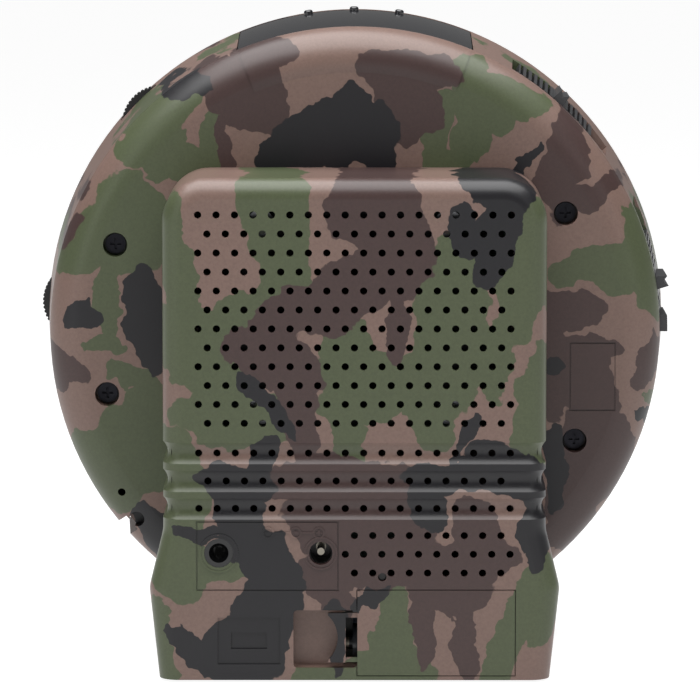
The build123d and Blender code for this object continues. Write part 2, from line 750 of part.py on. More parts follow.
# ---- Tower cover: the vented box behind the drum, with the back of the stand ----
groove_round = ((groove_chord / 2) ** 2 + groove_depth**2) / (2 * groove_depth)
groove_stand_off = groove_round - groove_depth
face_inside_y = tower_back_y - wall
with BuildPart() as tower_cover:
    with BuildSketch(upright(tower_back_y)):
        stand_outline(tower_top_z, tower_corner)
    extrude(amount=tower_back_y - drum_back_y)
    near_edges = tower_cover.edges().group_by(Axis.Y)[-1]
    fillet(near_edges.filter_by(lambda edge: edge.center().Z > stand_floor_z + wall), radius=edge_round)
    with BuildSketch(upright(face_inside_y)):
        stand_outline(tower_top_z, tower_corner)
        offset(amount=-wall, kind=Kind.INTERSECTION, mode=Mode.REPLACE)
    extrude(amount=face_inside_y - drum_back_y, mode=Mode.SUBTRACT)
    plate_opening(face_inside_y, drum_back_y)
    # Grooves round three sides.
    for height in groove_heights:
        side = tower_half_width + groove_stand_off
        far = tower_back_y + groove_stand_off
        start_y = drum_back_y - cut_past
        with BuildLine(floor_plane(height)) as groove_path:
            FilletPolyline(
                (side, start_y),
                (side, far),
                (-side, far),
                (-side, start_y),
                radius=edge_round + groove_stand_off,
            )
        with BuildSketch(upright(start_y)):
            with Locations((side, height)):
                Circle(groove_round)
        sweep(path=groove_path.line, mode=Mode.SUBTRACT)
    # Bosses behind the face: speaker, jack board and the rear screws of the base plate.
    basket_front_y = face_inside_y - gasket_thickness - surround_thickness
    basket_rear_y = basket_front_y - basket_thickness
    with BuildSketch(upright(face_inside_y)):
        with Locations((0, speaker_z)):
            with PolarLocations(speaker_screw_reach, 4, start_angle=45):
                Circle(speaker_boss_radius)
    extrude(amount=face_inside_y - basket_rear_y)
    jack_board_rear_y = jack_board_y + board_thickness
    with BuildSketch(upright(face_inside_y)):
        with Locations(jack_posts):
            Circle(jack_post_radius)
    extrude(amount=face_inside_y - jack_board_rear_y)
    with BuildSketch(upright(jack_board_rear_y)):
        with Locations(jack_posts):
            Circle(small_screw_radius)
    extrude(amount=-small_screw_length, mode=Mode.SUBTRACT)
    with BuildSketch(upright(basket_rear_y)):
        with Locations((0, speaker_z)):
            with PolarLocations(speaker_screw_reach, 4, start_angle=45):
                Circle(small_screw_radius)
    extrude(amount=basket_rear_y - face_inside_y, mode=Mode.SUBTRACT)
    with BuildSketch(floor_plane(plate_top_z + snug)):
        with Locations(plate_screws[2:]):
            Circle(plate_boss_radius)
        boss_ribs(plate_screws[2:], stand_floor_half - wall / 2)
    extrude(amount=plate_boss_top_z - plate_top_z - snug)
    with BuildSketch(floor_plane(plate_top_z)):
        with Locations(plate_screws[2:]):
            Circle(screw_radius)
    extrude(amount=plate_boss_top_z - plate_top_z - wall, mode=Mode.SUBTRACT)
    # Bosses for the screws that come through the ledge of the rear shell.
    with BuildSketch(upright(drum_back_y + tower_boss_length)):
        with Locations(tower_screw_places):
            Circle(tower_boss_radius)
        boss_ribs(tower_screw_places, tower_half_width - wall / 2)
    extrude(amount=tower_boss_length)
    with BuildSketch(upright(drum_back_y + tower_boss_length - wall / 2)):
        with Locations(tower_screw_places):
            Circle(screw_radius)
    extrude(amount=tower_boss_length - wall / 2, mode=Mode.SUBTRACT)
    # Battery bay and finger well, boxed behind the face.
    bay_width = bay_left_x - bay_right_x
    bay_height = bay_top_z - bay_bottom_z
    bay_centre = ((bay_left_x + bay_right_x) / 2, (bay_top_z + bay_bottom_z) / 2)
    well_width = well_left_x - door_left_x
    well_height = well_top_z - well_bottom_z
    well_centre = ((well_left_x + door_left_x) / 2, (well_top_z + well_bottom_z) / 2)
    with BuildSketch(upright(face_inside_y)):
        with Locations(bay_centre):
            Rectangle(bay_width + 2 * bay_wall, bay_height + 2 * bay_wall)
    extrude(amount=bay_depth + bay_wall)
    with BuildSketch(upright(face_inside_y)):
        with Locations(well_centre):
            Rectangle(well_width + 2 * bay_wall, well_height + 2 * bay_wall)
    extrude(amount=well_depth - wall + bay_wall)
    with BuildSketch(upright(face_inside_y)):
        with Locations(bay_centre):
            Rectangle(bay_width, bay_height)
    extrude(amount=bay_depth, mode=Mode.SUBTRACT)
    with BuildSketch(upright(tower_back_y)):
        with Locations(well_centre):
            RectangleRounded(well_width, well_height, bay_wall)
    extrude(amount=well_depth, mode=Mode.SUBTRACT)
    door_width = door_left_x - door_right_x
    door_height = door_top_z - door_bottom_z
    door_centre = ((door_left_x + door_right_x) / 2, (door_top_z + door_bottom_z) / 2)
    with BuildSketch(upright(tower_back_y)):
        with Locations(door_centre):
            Rectangle(door_width + 2 * door_gap, door_height + 2 * door_gap)
    extrude(amount=door_thickness + door_gap, mode=Mode.SUBTRACT)
    mouth_right_x = door_right_x + hinge_tab_reach
    with BuildSketch(upright(tower_back_y)):
        with Locations(((door_left_x + mouth_right_x) / 2, bay_centre[1])):
            Rectangle(door_left_x - mouth_right_x + 2 * door_gap, bay_height)
    extrude(amount=wall, mode=Mode.SUBTRACT)
    # Jack holes, reset hole, and the panel's engraved frame.
    with BuildSketch(upright(tower_back_y)):
        with Locations(shaker_jack_place):
            Circle(shaker_hole_radius)
        with Locations(dc_jack_place):
            Circle(dc_hole_radius)
        with Locations(reset_place):
            Circle(reset_hole_radius)
    extrude(amount=wall, mode=Mode.SUBTRACT)
    panel_width = panel_left_x - panel_right_x
    panel_height = panel_top_z - panel_bottom_z
    with BuildSketch(upright(tower_back_y)):
        with Locations(((panel_left_x + panel_right_x) / 2, (panel_top_z + panel_bottom_z) / 2)):
            Rectangle(panel_width, panel_height)
            Rectangle(panel_width - 2 * engrave_width, panel_height - 2 * engrave_width, mode=Mode.SUBTRACT)
    extrude(amount=engrave_depth, mode=Mode.SUBTRACT)
    # Raised rings round the jacks, and the raised polarity sign.
    with BuildSketch(upright(tower_back_y)):
        for place, hole in ((shaker_jack_place, shaker_hole_radius), (dc_jack_place, dc_hole_radius)):
            with Locations(place):
                Circle(hole + ring_gap + ring_width)
                Circle(hole + ring_gap, mode=Mode.SUBTRACT)
        for x in polarity_places:
            with Locations((x, polarity_z)):
                Circle(polarity_radius)
                Circle(polarity_radius - polarity_stroke, mode=Mode.SUBTRACT)
        for x in (polarity_places[0], polarity_places[2]):
            with Locations((x, polarity_z)):
                Rectangle(polarity_radius, polarity_stroke)
        with Locations((polarity_places[2], polarity_z)):
            Rectangle(polarity_stroke, polarity_radius)
        with Locations((polarity_places[1], polarity_z)):
            Circle(polarity_radius / 3)
        for first, second in zip(polarity_places, polarity_places[1:]):
            with Locations(((first + second) / 2, polarity_z)):
                Rectangle(first - second - 2 * polarity_radius + polarity_stroke, polarity_stroke)
    extrude(amount=-ring_rise)
    # Label recess in two steps.
    with BuildSketch(upright(tower_back_y)):
        with Locations(recess_centre):
            Rectangle(*recess_size)
    extrude(amount=recess_depth, mode=Mode.SUBTRACT)
    with BuildSketch(upright(tower_back_y)):
        with Locations(recess_centre):
            Rectangle(*recess_inner_size)
    extrude(amount=recess_inner_depth, mode=Mode.SUBTRACT)
    # Vents: the main grid, a row in each groove, and the small grid by the jacks.
    vents = []
    for row in range(vent_rows):
        count = vent_columns - row % 2
        height = vent_top_z - row * vent_row_pitch
        vents += [((column - (count - 1) / 2) * vent_pitch, height) for column in range(count)]
    for row, height in enumerate(groove_heights):
        count = vent_columns - row % 2
        vents += [((column - (count - 1) / 2) * vent_pitch, height) for column in range(count)]
    for row, count in enumerate(low_vent_counts):
        height = low_vent_top_z - row * vent_row_pitch
        middle = low_vent_centre_x - (count - 1) / 2 * vent_pitch
        vents += [(middle + column * vent_pitch, height) for column in range(count)]
    with BuildSketch(upright(tower_back_y)):
        with Locations(vents):
            Circle(vent_radius)
    extrude(amount=wall + slip, mode=Mode.SUBTRACT)
export_piece(tower_cover.part, "tower_cover")

# ---- Battery door with its latch tongue ----
with BuildPart() as battery_door:
    with BuildSketch(upright(tower_back_y)):
        with Locations(door_centre):
            Rectangle(door_width, door_height)
    extrude(amount=door_thickness)
    tongue_height = tongue_top_z - tongue_bottom_z
    tongue_middle_z = (tongue_top_z + tongue_bottom_z) / 2
    bite_chord = tongue_height - latch_arm
    bite_round = ((bite_chord / 2) ** 2 + tongue_bite**2) / (2 * tongue_bite)
    with BuildSketch(upright(tower_back_y)):
        with Locations(((tongue_left_x + tongue_right_x) / 2, tongue_middle_z)):
            Rectangle(tongue_left_x - tongue_right_x, tongue_height)
        with Locations((tongue_left_x - tongue_bite + bite_round, tongue_middle_z)):
            Circle(bite_round, mode=Mode.SUBTRACT)
    extrude(amount=door_thickness)
    arm_centre_x = (door_left_x + tongue_right_x) / 2
    with BuildSketch(upright(tower_back_y - latch_arm_drop)):
        with Locations(
            (arm_centre_x, tongue_top_z - latch_arm / 2),
            (arm_centre_x, tongue_bottom_z + latch_arm / 2),
        ):
            Rectangle(tongue_right_x - door_left_x + 2 * latch_arm, latch_arm)
    extrude(amount=door_thickness - latch_arm_drop)
    # Two hinge tabs that hook under the right edge of the opening.
    tab_top_y = face_inside_y - slip
    tab_bottom_y = tab_top_y - door_thickness
    tab_root_x = mouth_right_x + door_gap
    tab_heights = (door_centre[1] - door_height / 4, door_centre[1] + door_height / 4)
    with BuildSketch(upright(tower_back_y - door_thickness)):
        with Locations([(tab_root_x + latch_arm / 2, height) for height in tab_heights]):
            Rectangle(latch_arm, door_height / 4)
    extrude(amount=tower_back_y - door_thickness - tab_bottom_y)
    with BuildSketch(upright(tab_top_y)):
        tab_reach = tab_root_x - door_right_x + hinge_tab_reach
        with Locations([(tab_root_x - tab_reach / 2 + latch_arm / 2, height) for height in tab_heights]):
            Rectangle(tab_reach + latch_arm, door_height / 4)
    extrude(amount=door_thickness)
export_piece(battery_door.part, "battery_door")

# ---- Two backup cells, side by side, turned opposite ways ----
cell_y = face_inside_y - bay_depth + cell_radius + 2 * snug
cell_heights = (bay_bottom_z + cell_radius + 2 * snug, bay_top_z - cell_radius - 2 * snug)
for number, (height, way) in enumerate(zip(cell_heights, (1, -1)), start=1):
    middle_x = bay_centre[0]
    with BuildPart() as cell:
        with BuildSketch(Plane((middle_x - way * cell_length / 2, cell_y, height), z_dir=(way, 0, 0))):
            Circle(cell_radius)
        extrude(amount=cell_length)
        with BuildSketch(Plane((middle_x + way * cell_length / 2, cell_y, height), z_dir=(way, 0, 0))):
            Circle(cell_tip_radius)
        extrude(amount=cell_tip_length)
    export_piece(cell.part, f"backup_cell_{number}")

# ---- Contact plates at the ends of the bay ----
with BuildPart() as battery_contacts:
    for height, way in zip(cell_heights, (1, -1)):
        tip_gap = bay_width / 2 - cell_length / 2 - cell_tip_length
        back_gap = bay_width / 2 - cell_length / 2
        for side, gap in ((way, tip_gap), (-way, back_gap)):
            end_x = bay_centre[0] + side * bay_width / 2
            with BuildSketch(Plane((end_x, cell_y, height), x_dir=(0, 1, 0), z_dir=(-side, 0, 0))):
                Rectangle(2 * cell_radius - 1, 2 * cell_radius - 1)
            extrude(amount=contact_thickness)
            with BuildSketch(Plane((end_x, cell_y, height), x_dir=(0, 1, 0), z_dir=(-side, 0, 0))):
                Circle(cell_tip_radius)
            extrude(amount=gap)
export_piece(battery_contacts.part, "battery_contacts")

# ---- Speaker: gasket, cone with its surround, basket and magnet ----
speaker_axis = Axis((0, 0, speaker_z), (0, 1, 0))
with BuildPart() as speaker_gasket:
    with BuildSketch(upright(face_inside_y)):
        with Locations((0, speaker_z)):
            Circle(speaker_radius)
            Circle(speaker_radius - gasket_width, mode=Mode.SUBTRACT)
    extrude(amount=gasket_thickness)
export_piece(speaker_gasket.part, "speaker_gasket")

surround_front_y = face_inside_y - gasket_thickness
throat_y = basket_front_y - cone_depth
cap_base_y = throat_y + cone_thickness
cap_round = (cone_throat**2 + cone_cap_height**2) / (2 * cone_cap_height)
cap_turn = math.asin(cone_throat / cap_round) / 2
cap_middle_y = cap_base_y + cone_cap_height - cap_round * (1 - math.cos(cap_turn))
with BuildPart() as speaker_cone:
    with BuildSketch(Plane.YZ):
        with BuildLine():
            Polyline(
                (cap_base_y, speaker_z + cone_throat),
                (surround_front_y, speaker_z + cone_radius),
                (surround_front_y, speaker_z + speaker_radius),
                (basket_front_y, speaker_z + speaker_radius),
                (basket_front_y, speaker_z + cone_radius),
                (throat_y, speaker_z + cone_throat),
                (throat_y, speaker_z),
                (cap_base_y + cone_cap_height, speaker_z),
            )
            ThreePointArc(
                (cap_base_y + cone_cap_height, speaker_z),
                (cap_middle_y, speaker_z + cap_round * math.sin(cap_turn)),
                (cap_base_y, speaker_z + cone_throat),
            )
        make_face()
    revolve(axis=speaker_axis)
export_piece(speaker_cone.part, "speaker_cone")

basket_end_y = basket_rear_y - basket_depth
with BuildPart() as speaker_basket:
    with BuildSketch(Plane.YZ):
        with BuildLine():
            Polyline(
                (basket_front_y, speaker_z + speaker_radius),
                (basket_rear_y, speaker_z + speaker_radius),
                (basket_rear_y, speaker_z + cone_radius + 2 * basket_thickness),
                (basket_end_y, speaker_z + basket_throat + basket_thickness),
                (basket_end_y, speaker_z + cone_throat),
                (basket_end_y + basket_thickness, speaker_z + cone_throat),
                (basket_end_y + basket_thickness, speaker_z + basket_throat),
                (basket_rear_y, speaker_z + cone_radius + basket_thickness / 2),
                (basket_front_y, speaker_z + cone_radius + basket_thickness / 2),
                close=True,
            )
        make_face()
    revolve(axis=speaker_axis)
    # Windows between the basket's legs.
    with BuildSketch(upright(basket_rear_y)):
        with Locations((0, speaker_z)):
            with PolarLocations((basket_throat + cone_radius) / 2, 4):
                SlotOverall(2 * basket_throat, cone_throat, rotation=90)
    extrude(amount=basket_depth - basket_thickness, mode=Mode.SUBTRACT)
export_piece(speaker_basket.part, "speaker_basket")

with BuildPart() as speaker_magnet:
    with BuildSketch(upright(basket_end_y)):
        with Locations((0, speaker_z)):
            Circle(magnet_radius)
    extrude(amount=magnet_thickness)
    chamfer(speaker_magnet.edges().filter_by(GeomType.CIRCLE), length=basket_thickness / 2)
export_piece(speaker_magnet.part, "speaker_magnet")


def screw_solid(plane, shaft_radius, length, head_radius, head_height):
    """A cross-head screw: the plane's normal points along the shaft, from under the head."""
    with BuildPart() as screw:
        with BuildSketch(plane) as shaft:
            Circle(shaft_radius)
        extrude(shaft.sketch, amount=length)
        with BuildSketch(plane) as head:
            Circle(head_radius)
        extrude(head.sketch, amount=-head_height)
        with BuildSketch(plane.offset(-head_height)) as cross:
            Rectangle(1.1 * head_radius, cross_width)
            Rectangle(cross_width, 1.1 * head_radius)
        extrude(cross.sketch, amount=head_height / 2, mode=Mode.SUBTRACT)
    return screw.part


with BuildPart() as speaker_screws:
    for corner in PolarLocations(speaker_screw_reach, 4, start_angle=45):
        seat = Plane((corner.position.X, basket_rear_y, speaker_z + corner.position.Y), z_dir=(0, 1, 0))
        reach = face_inside_y - basket_rear_y
        add(screw_solid(seat, small_screw_radius, reach, speaker_head_radius, small_head_height))
export_piece(speaker_screws.part, "speaker_screws")

# ---- Jack board with its two jacks, the reset switch and the reset button ----
with BuildPart() as jack_board:
    with BuildSketch(upright(jack_board_rear_y)):
        board_middle_x = (jack_board_left_x + jack_board_right_x) / 2
        board_middle_z = (jack_board_top_z + jack_board_bottom_z) / 2
        with Locations((board_middle_x, board_middle_z)):
            Rectangle(jack_board_left_x - jack_board_right_x, jack_board_top_z - jack_board_bottom_z)
        with Locations(jack_posts):
            Circle(small_screw_radius + snug, mode=Mode.SUBTRACT)
    extrude(amount=board_thickness)
export_piece(jack_board.part, "jack_board")

with BuildPart() as jack_board_screws:
    for x, z in jack_posts:
        seat = Plane((x, jack_board_y, z), z_dir=(0, 1, 0))
        add(screw_solid(seat, small_screw_radius, small_screw_length, small_head_radius, small_head_height))
export_piece(jack_board_screws.part, "jack_board_screws")

jack_face_y = face_inside_y - slip
with BuildPart() as shaker_jack:
    with BuildSketch(upright(jack_face_y)):
        with Locations(shaker_jack_place):
            Rectangle(2 * jack_body_half, 2 * jack_body_half)
    extrude(amount=jack_face_y - jack_board_rear_y)
    nose_end_y = tower_back_y - slip
    with BuildSketch(upright(nose_end_y)):
        with Locations(shaker_jack_place):
            Circle(jack_nose_radius)
    extrude(amount=nose_end_y - jack_face_y)
    with BuildSketch(upright(nose_end_y)):
        with Locations(shaker_jack_place):
            Circle(phone_bore_radius)
    extrude(amount=phone_bore_length, mode=Mode.SUBTRACT)
    mouth = shaker_jack.edges().filter_by(GeomType.CIRCLE).group_by(Axis.Y)[-1].sort_by(SortBy.RADIUS)[0]
    chamfer(mouth, length=collar_dish, length2=1.7 * collar_dish)
export_piece(shaker_jack.part, "shaker_jack")

with BuildPart() as dc_jack:
    with BuildSketch(upright(jack_face_y)):
        with Locations(dc_jack_place):
            Rectangle(2 * jack_body_half, 2 * jack_body_half)
    extrude(amount=jack_face_y - jack_board_rear_y)
    with BuildSketch(upright(jack_face_y)):
        with Locations(dc_jack_place):
            Circle(dc_bore_radius)
    extrude(amount=dc_bore_length, mode=Mode.SUBTRACT)
    with BuildSketch(upright(jack_face_y - dc_bore_length)):
        with Locations(dc_jack_place):
            Circle(dc_pin_root_radius)
    extrude(amount=jack_face_y - dc_bore_length - jack_board_rear_y, mode=Mode.SUBTRACT)
export_piece(dc_jack.part, "dc_jack")

with BuildPart() as dc_jack_pin:
    with BuildSketch(upright(jack_face_y - dc_pin_sink)):
        with Locations(dc_jack_place):
            Circle(dc_pin_radius)
    extrude(amount=dc_bore_length - dc_pin_sink)
    with BuildSketch(upright(jack_face_y - dc_bore_length)):
        with Locations(dc_jack_place):
            Circle(dc_pin_root_radius)
    extrude(amount=jack_face_y - dc_bore_length - jack_board_rear_y)
export_piece(dc_jack_pin.part, "dc_jack_pin")

with BuildPart() as reset_switch:
    with BuildSketch(upright(jack_board_rear_y + tact_height)):
        with Locations(reset_place):
            Rectangle(2 * (tact_half - 2 * slip), 2 * (tact_half - 2 * slip))
    extrude(amount=tact_height)
    with BuildSketch(upright(jack_board_rear_y + tact_height)):
        with Locations(reset_place):
            Circle(tact_plunger_radius)
    extrude(amount=-tact_plunger_height)
export_piece(reset_switch.part, "reset_switch")

with BuildPart() as reset_button:
    button_foot_y = jack_board_rear_y + tact_height + tact_plunger_height + reset_travel + snug
    with BuildSketch(upright(tower_back_y - wall / 2)):
        with Locations(reset_place):
            Circle(reset_pin_radius)
    extrude(amount=tower_back_y - wall / 2 - button_foot_y)
    with BuildSketch(upright(face_inside_y - slip)):
        with Locations(reset_place):
            Circle(2 * reset_pin_radius)
    extrude(amount=cap_flange)
export_piece(reset_button.part, "reset_button")

# ---- Snooze bar: a crowned cap with upright ends, a post for its switch, spring pads and two snap legs ----
with BuildPart() as bump:
    Cylinder(bump_radius, bump_rise + snooze_thickness / 2, align=(Align.CENTER, Align.CENTER, Align.MIN))
    fillet(bump.edges().group_by(Axis.Z)[-1], radius=bump_round)

snooze_switch_top_z = snooze_shelf_z + tact_height + tact_plunger_height
bar_works_radius = rim_radius(snooze_works_y)
bar_join_z = drum_axis_z + math.sqrt(bar_works_radius**2 - (leg_outer_x + hook_reach) ** 2) - snooze_thickness
bar_under_rear = (snooze_rear_y, drum_axis_z + rim_radius(snooze_rear_y) - snooze_thickness)
bar_under_front = (snooze_front_y, drum_axis_z + rim_radius(snooze_front_y) - snooze_thickness)
bar_middle_y = (snooze_front_y + snooze_rear_y) / 2
bar_rear_z = drum_axis_z + rim_radius(snooze_rear_y) - bar_rear_sink
bar_front_z = drum_axis_z + rim_radius(snooze_front_y) - bar_front_sink
with BuildPart() as snooze_bar:
    with BuildSketch(Plane.YZ):
        with BuildLine():
            bar_under = Line(bar_under_rear, bar_under_front)
            bar_front = Line(bar_under @ 1, (snooze_front_y, bar_front_z))
            crown = ThreePointArc(
                bar_front @ 1,
                (bar_middle_y, drum_axis_z + rim_radius(bar_middle_y) + crown_rise),
                (snooze_rear_y - bar_rear_round, bar_rear_z),
            )
            bar_rear = TangentArc(crown @ 1, (snooze_rear_y, bar_rear_z - bar_rear_round), tangent=crown % 1)
            Line(bar_rear @ 1, bar_under @ 0)
        make_face()
    revolve(axis=drum_axis)
    with BuildSketch(upright(snooze_rear_y + cut_past)):
        with Locations((0, drum_axis_z + drum_radius)):
            Rectangle(2 * snooze_half_width, drum_radius)
    extrude(amount=snooze_rear_y - snooze_front_y + 2 * cut_past, mode=Mode.INTERSECT)
    for angle in bump_angles:
        with Locations(radial_plane(rim_radius(bump_y) - snooze_thickness / 2, angle, bump_y)):
            add(bump.part)
    # Post over the switch, pads and pegs for the springs.
    with BuildSketch(floor_plane(snooze_switch_top_z + snooze_travel + snug)):
        with Locations((0, snooze_works_y)):
            Rectangle(2 * snooze_post_half, 2 * snooze_post_half)
    post_top_z = drum_axis_z + bar_works_radius - snooze_thickness / 2
    extrude(amount=post_top_z - snooze_switch_top_z - snooze_travel)
    with BuildSketch(floor_plane(spring_top_z)):
        with Locations([(side * spring_place, snooze_works_y) for side in (-1, 1)]):
            Circle(spring_pad_radius)
    extrude(amount=snooze_thickness)
    with BuildSketch(floor_plane(spring_top_z)):
        with Locations([(side * spring_place, snooze_works_y) for side in (-1, 1)]):
            Circle(spring_seat_radius)
    extrude(amount=-spring_seat_length)
    # Snap legs through the shelf, with hooks under it.
    hook_top_z = snooze_shelf_z - snooze_shelf_thickness - snug
    hook_middle_x = leg_outer_x + (hook_reach - leg_thickness) / 2
    with BuildSketch(floor_plane(hook_top_z - hook_height)):
        with Locations([(side * (leg_outer_x - leg_thickness / 2), snooze_works_y) for side in (-1, 1)]):
            Rectangle(leg_thickness, leg_width)
    extrude(amount=bar_join_z + snooze_thickness / 2 - hook_top_z + hook_height)
    with BuildSketch(floor_plane(hook_top_z - hook_height)):
        with Locations([(side * hook_middle_x, snooze_works_y) for side in (-1, 1)]):
            Rectangle(leg_thickness + hook_reach, leg_width)
    extrude(amount=hook_height)
export_piece(snooze_bar.part, "snooze_bar")

with BuildPart() as snooze_switch:
    with BuildSketch(floor_plane(snooze_shelf_z)):
        with Locations((0, snooze_works_y)):
            Rectangle(2 * tact_half, 2 * tact_half)
    extrude(amount=tact_height)
    with BuildSketch(floor_plane(snooze_shelf_z + tact_height)):
        with Locations((0, snooze_works_y)):
            Circle(tact_plunger_radius)
    extrude(amount=tact_plunger_height)
export_piece(snooze_switch.part, "snooze_switch")

spring_length = spring_top_z - snooze_shelf_z - 2 * spring_wire - 2 * snug
for number, side in enumerate((1, -1), start=1):
    with BuildPart() as snooze_spring:
        with BuildLine() as coil:
            Helix(
                pitch=spring_length / spring_turns,
                height=spring_length,
                radius=spring_radius - spring_wire,
                center=(side * spring_place, snooze_works_y, snooze_shelf_z + spring_wire + snug),
            )
        with BuildSketch(Plane(coil.line @ 0, z_dir=coil.line % 0)):
            Circle(spring_wire)
        sweep(path=coil.line, is_frenet=True)
    export_piece(snooze_spring.part, f"snooze_spring_{number}")

# ---- Thumbwheels on their potentiometers ----
for name, angle in wheel_angles.items():
    centre = around_drum(wheel_reach, angle)
    with BuildPart() as wheel:
        with BuildSketch(upright(wheel_rear_y)):
            with Locations(centre):
                Circle(wheel_radius)
                Circle(pot_shaft_radius + snug, mode=Mode.SUBTRACT)
                with PolarLocations(wheel_radius, wheel_ridges):
                    Circle(wheel_ridge_depth, mode=Mode.SUBTRACT)
        extrude(amount=wheel_thickness)
    export_piece(wheel.part, f"{name}_wheel")
    with BuildPart() as pot:
        with BuildSketch(upright(pot_body_front_y + pot_depth)):
            with Locations(centre):
                Rectangle(2 * pot_half, 2 * pot_half, rotation=angle)
        extrude(amount=pot_depth)
        lug_span = 2 * (wheel_radius + 2 * lug_post_radius + slip)
        with BuildSketch(upright(pot_body_front_y + lug_thickness)):
            with Locations(centre):
                Rectangle(lug_width, lug_span, rotation=angle)
            with Locations(lug_places(angle)):
                Circle(lug_peg_radius + snug, mode=Mode.SUBTRACT)
        extrude(amount=lug_thickness)
        with BuildSketch(upright(pot_body_front_y)):
            with Locations(centre):
                Circle(pot_shaft_radius)
        extrude(amount=pot_body_front_y - wheel_front_y)
    export_piece(pot.part, f"{name}_pot")

# ---- Sliders in the rim, and the switches they push ----
slider_radius = drum_radius + slider_rise
slider_middle_radius = rim_radius((slot_front_y + slot_rear_y) / 2) + slider_rise
rib_cut = slider_radius - rim_radius(slot_rear_y) - slider_rise + rib_depth
flange_top = drum_radius - rim_draft - wall - slip
flange_under = flange_top - flange_thickness
slider_rear_y = slot_rear_y - slip
slider_depth = slot_rear_y - slot_front_y - 2 * slip
peg_middle_y = (switch_front_y + switch_rear_y) / 2
for name, (first, last) in strips.items():
    knob = knobs[name]
    with BuildPart() as slider:
        with BuildSketch(upright(slider_rear_y)):
            sector(first, last, slider_radius)
            with Locations((0, drum_axis_z)):
                Circle(flange_top, mode=Mode.SUBTRACT)
            rib_count = int((last - first) / rib_pitch_degrees)
            rib_angles = [first + (step + 0.5) * rib_pitch_degrees for step in range(rib_count)]
            for angle in rib_angles:
                if abs(angle - knob) > knob_half_degrees + rib_pitch_degrees / 2:
                    with Locations(around_drum(slider_radius, angle)):
                        Rectangle(2 * rib_cut, rib_gap, rotation=angle, mode=Mode.SUBTRACT)
        extrude(amount=slider_depth)
        with BuildSketch(Plane.YZ):
            with BuildLine():
                Polyline(
                    (bezel_y, drum_axis_z + slider_radius),
                    (rim_end_y, drum_axis_z + slider_radius - rim_draft),
                    (rim_end_y, drum_axis_z + slider_radius + slider_rise),
                    (bezel_y, drum_axis_z + slider_radius + slider_rise),
                    close=True,
                )
            make_face()
        revolve(axis=drum_axis, mode=Mode.SUBTRACT)
        crest = slider_middle_radius + knob_rise
        with BuildSketch(upright(slider_rear_y)):
            with BuildLine():
                Polyline(
                    around_drum(flange_top, knob - knob_half_degrees),
                    around_drum(crest, knob - knob_crest_degrees),
                    around_drum(crest - knob_notch_depth, knob),
                    around_drum(crest, knob + knob_crest_degrees),
                    around_drum(flange_top, knob + knob_half_degrees),
                    close=True,
                )
            make_face()
        extrude(amount=slider_depth)
        with BuildSketch(upright(slider_rear_y + flange_margin)):
            sector(*flange_ends[name], flange_top)
            with Locations((0, drum_axis_z)):
                Circle(flange_under, mode=Mode.SUBTRACT)
        extrude(amount=slider_depth + 2 * flange_margin)
        if name == "shaker":
            with BuildSketch(upright(slider_rear_y)):
                sector(last - slider_end_degrees, last, slider_middle_radius + slider_end_rise)
                with Locations((0, drum_axis_z)):
                    Circle(flange_top, mode=Mode.SUBTRACT)
            extrude(amount=slider_depth)
        peg_end = switch_top_reach - switch_slot_depth + slip
        with BuildSketch(upright(peg_middle_y + peg_depth / 2)):
            with Locations(around_drum((flange_top + peg_end) / 2, knob)):
                Rectangle(flange_top - peg_end, peg_width, rotation=knob)
        extrude(amount=peg_depth)
    export_piece(slider.part, f"{name}_slider")
    with BuildPart() as switch:
        angle = switch_angles[name]
        with BuildSketch(upright(switch_rear_y)):
            with Locations(around_drum(switch_top_reach - switch_depth / 2, angle)):
                Rectangle(switch_depth, switch_length, rotation=angle)
        extrude(amount=switch_rear_y - switch_front_y)
        peg_half_degrees = math.degrees((peg_width / 2 + 2 * slip) / peg_end)
        back, forth = slide_travel[name]
        with BuildSketch(upright(peg_middle_y + peg_depth / 2 + slip)):
            sector(knob - forth - peg_half_degrees, knob - back + peg_half_degrees, drum_radius)
            with Locations((0, drum_axis_z)):
                Circle(switch_top_reach - switch_slot_depth, mode=Mode.SUBTRACT)
        extrude(amount=peg_depth + 2 * slip, mode=Mode.SUBTRACT)
        with BuildSketch(upright(switch_rear_y)):
            with Locations(switch_post_places(angle)):
                Circle(switch_peg_radius + snug)
        extrude(amount=switch_peg_length + slip, mode=Mode.SUBTRACT)
    export_piece(switch.part, f"{name}_switch")

# ---- Dial side: bezel ring, dial panel, lens, display, board and set buttons ----
with BuildPart() as bezel_ring:
    with BuildSketch(Plane.YZ):
        with BuildLine():
            Polyline(
                (front_wall_y, drum_axis_z + bezel_inner),
                (bezel_y + bezel_slope_drop, drum_axis_z + bezel_inner),
                (bezel_y, drum_axis_z + bezel_inner + bezel_slope_width),
                (bezel_y, drum_axis_z + bezel_outer - snug),
                (front_wall_y, drum_axis_z + bezel_outer - snug),
                close=True,
            )
        make_face()
    revolve(axis=drum_axis)
export_piece(bezel_ring.part, "bezel_ring")

window_centre = (0, drum_axis_z + window_rise)
lens_size = (2 * (window_half_width + lens_border), 2 * (window_half_height + lens_border))
button_centres = [(x, drum_axis_z + button_drop) for x in button_places]
with BuildPart() as dial_panel:
    with BuildSketch(upright(front_wall_y)):
        with Locations((0, drum_axis_z)):
            Circle(dial_radius)
        with Locations(window_centre):
            Rectangle(lens_size[0] + 2 * snug, lens_size[1] + 2 * snug, mode=Mode.SUBTRACT)
        with Locations(button_centres):
            SlotOverall(button_size[0] + 2 * slip, button_size[1] + 2 * slip, mode=Mode.SUBTRACT)
    extrude(amount=dial_thickness)
export_piece(dial_panel.part, "dial_panel")

with BuildPart() as display_lens:
    with BuildSketch(upright(front_wall_y)):
        with Locations(window_centre):
            Rectangle(*lens_size)
    extrude(amount=lens_thickness)
export_piece(display_lens.part, "display_lens")

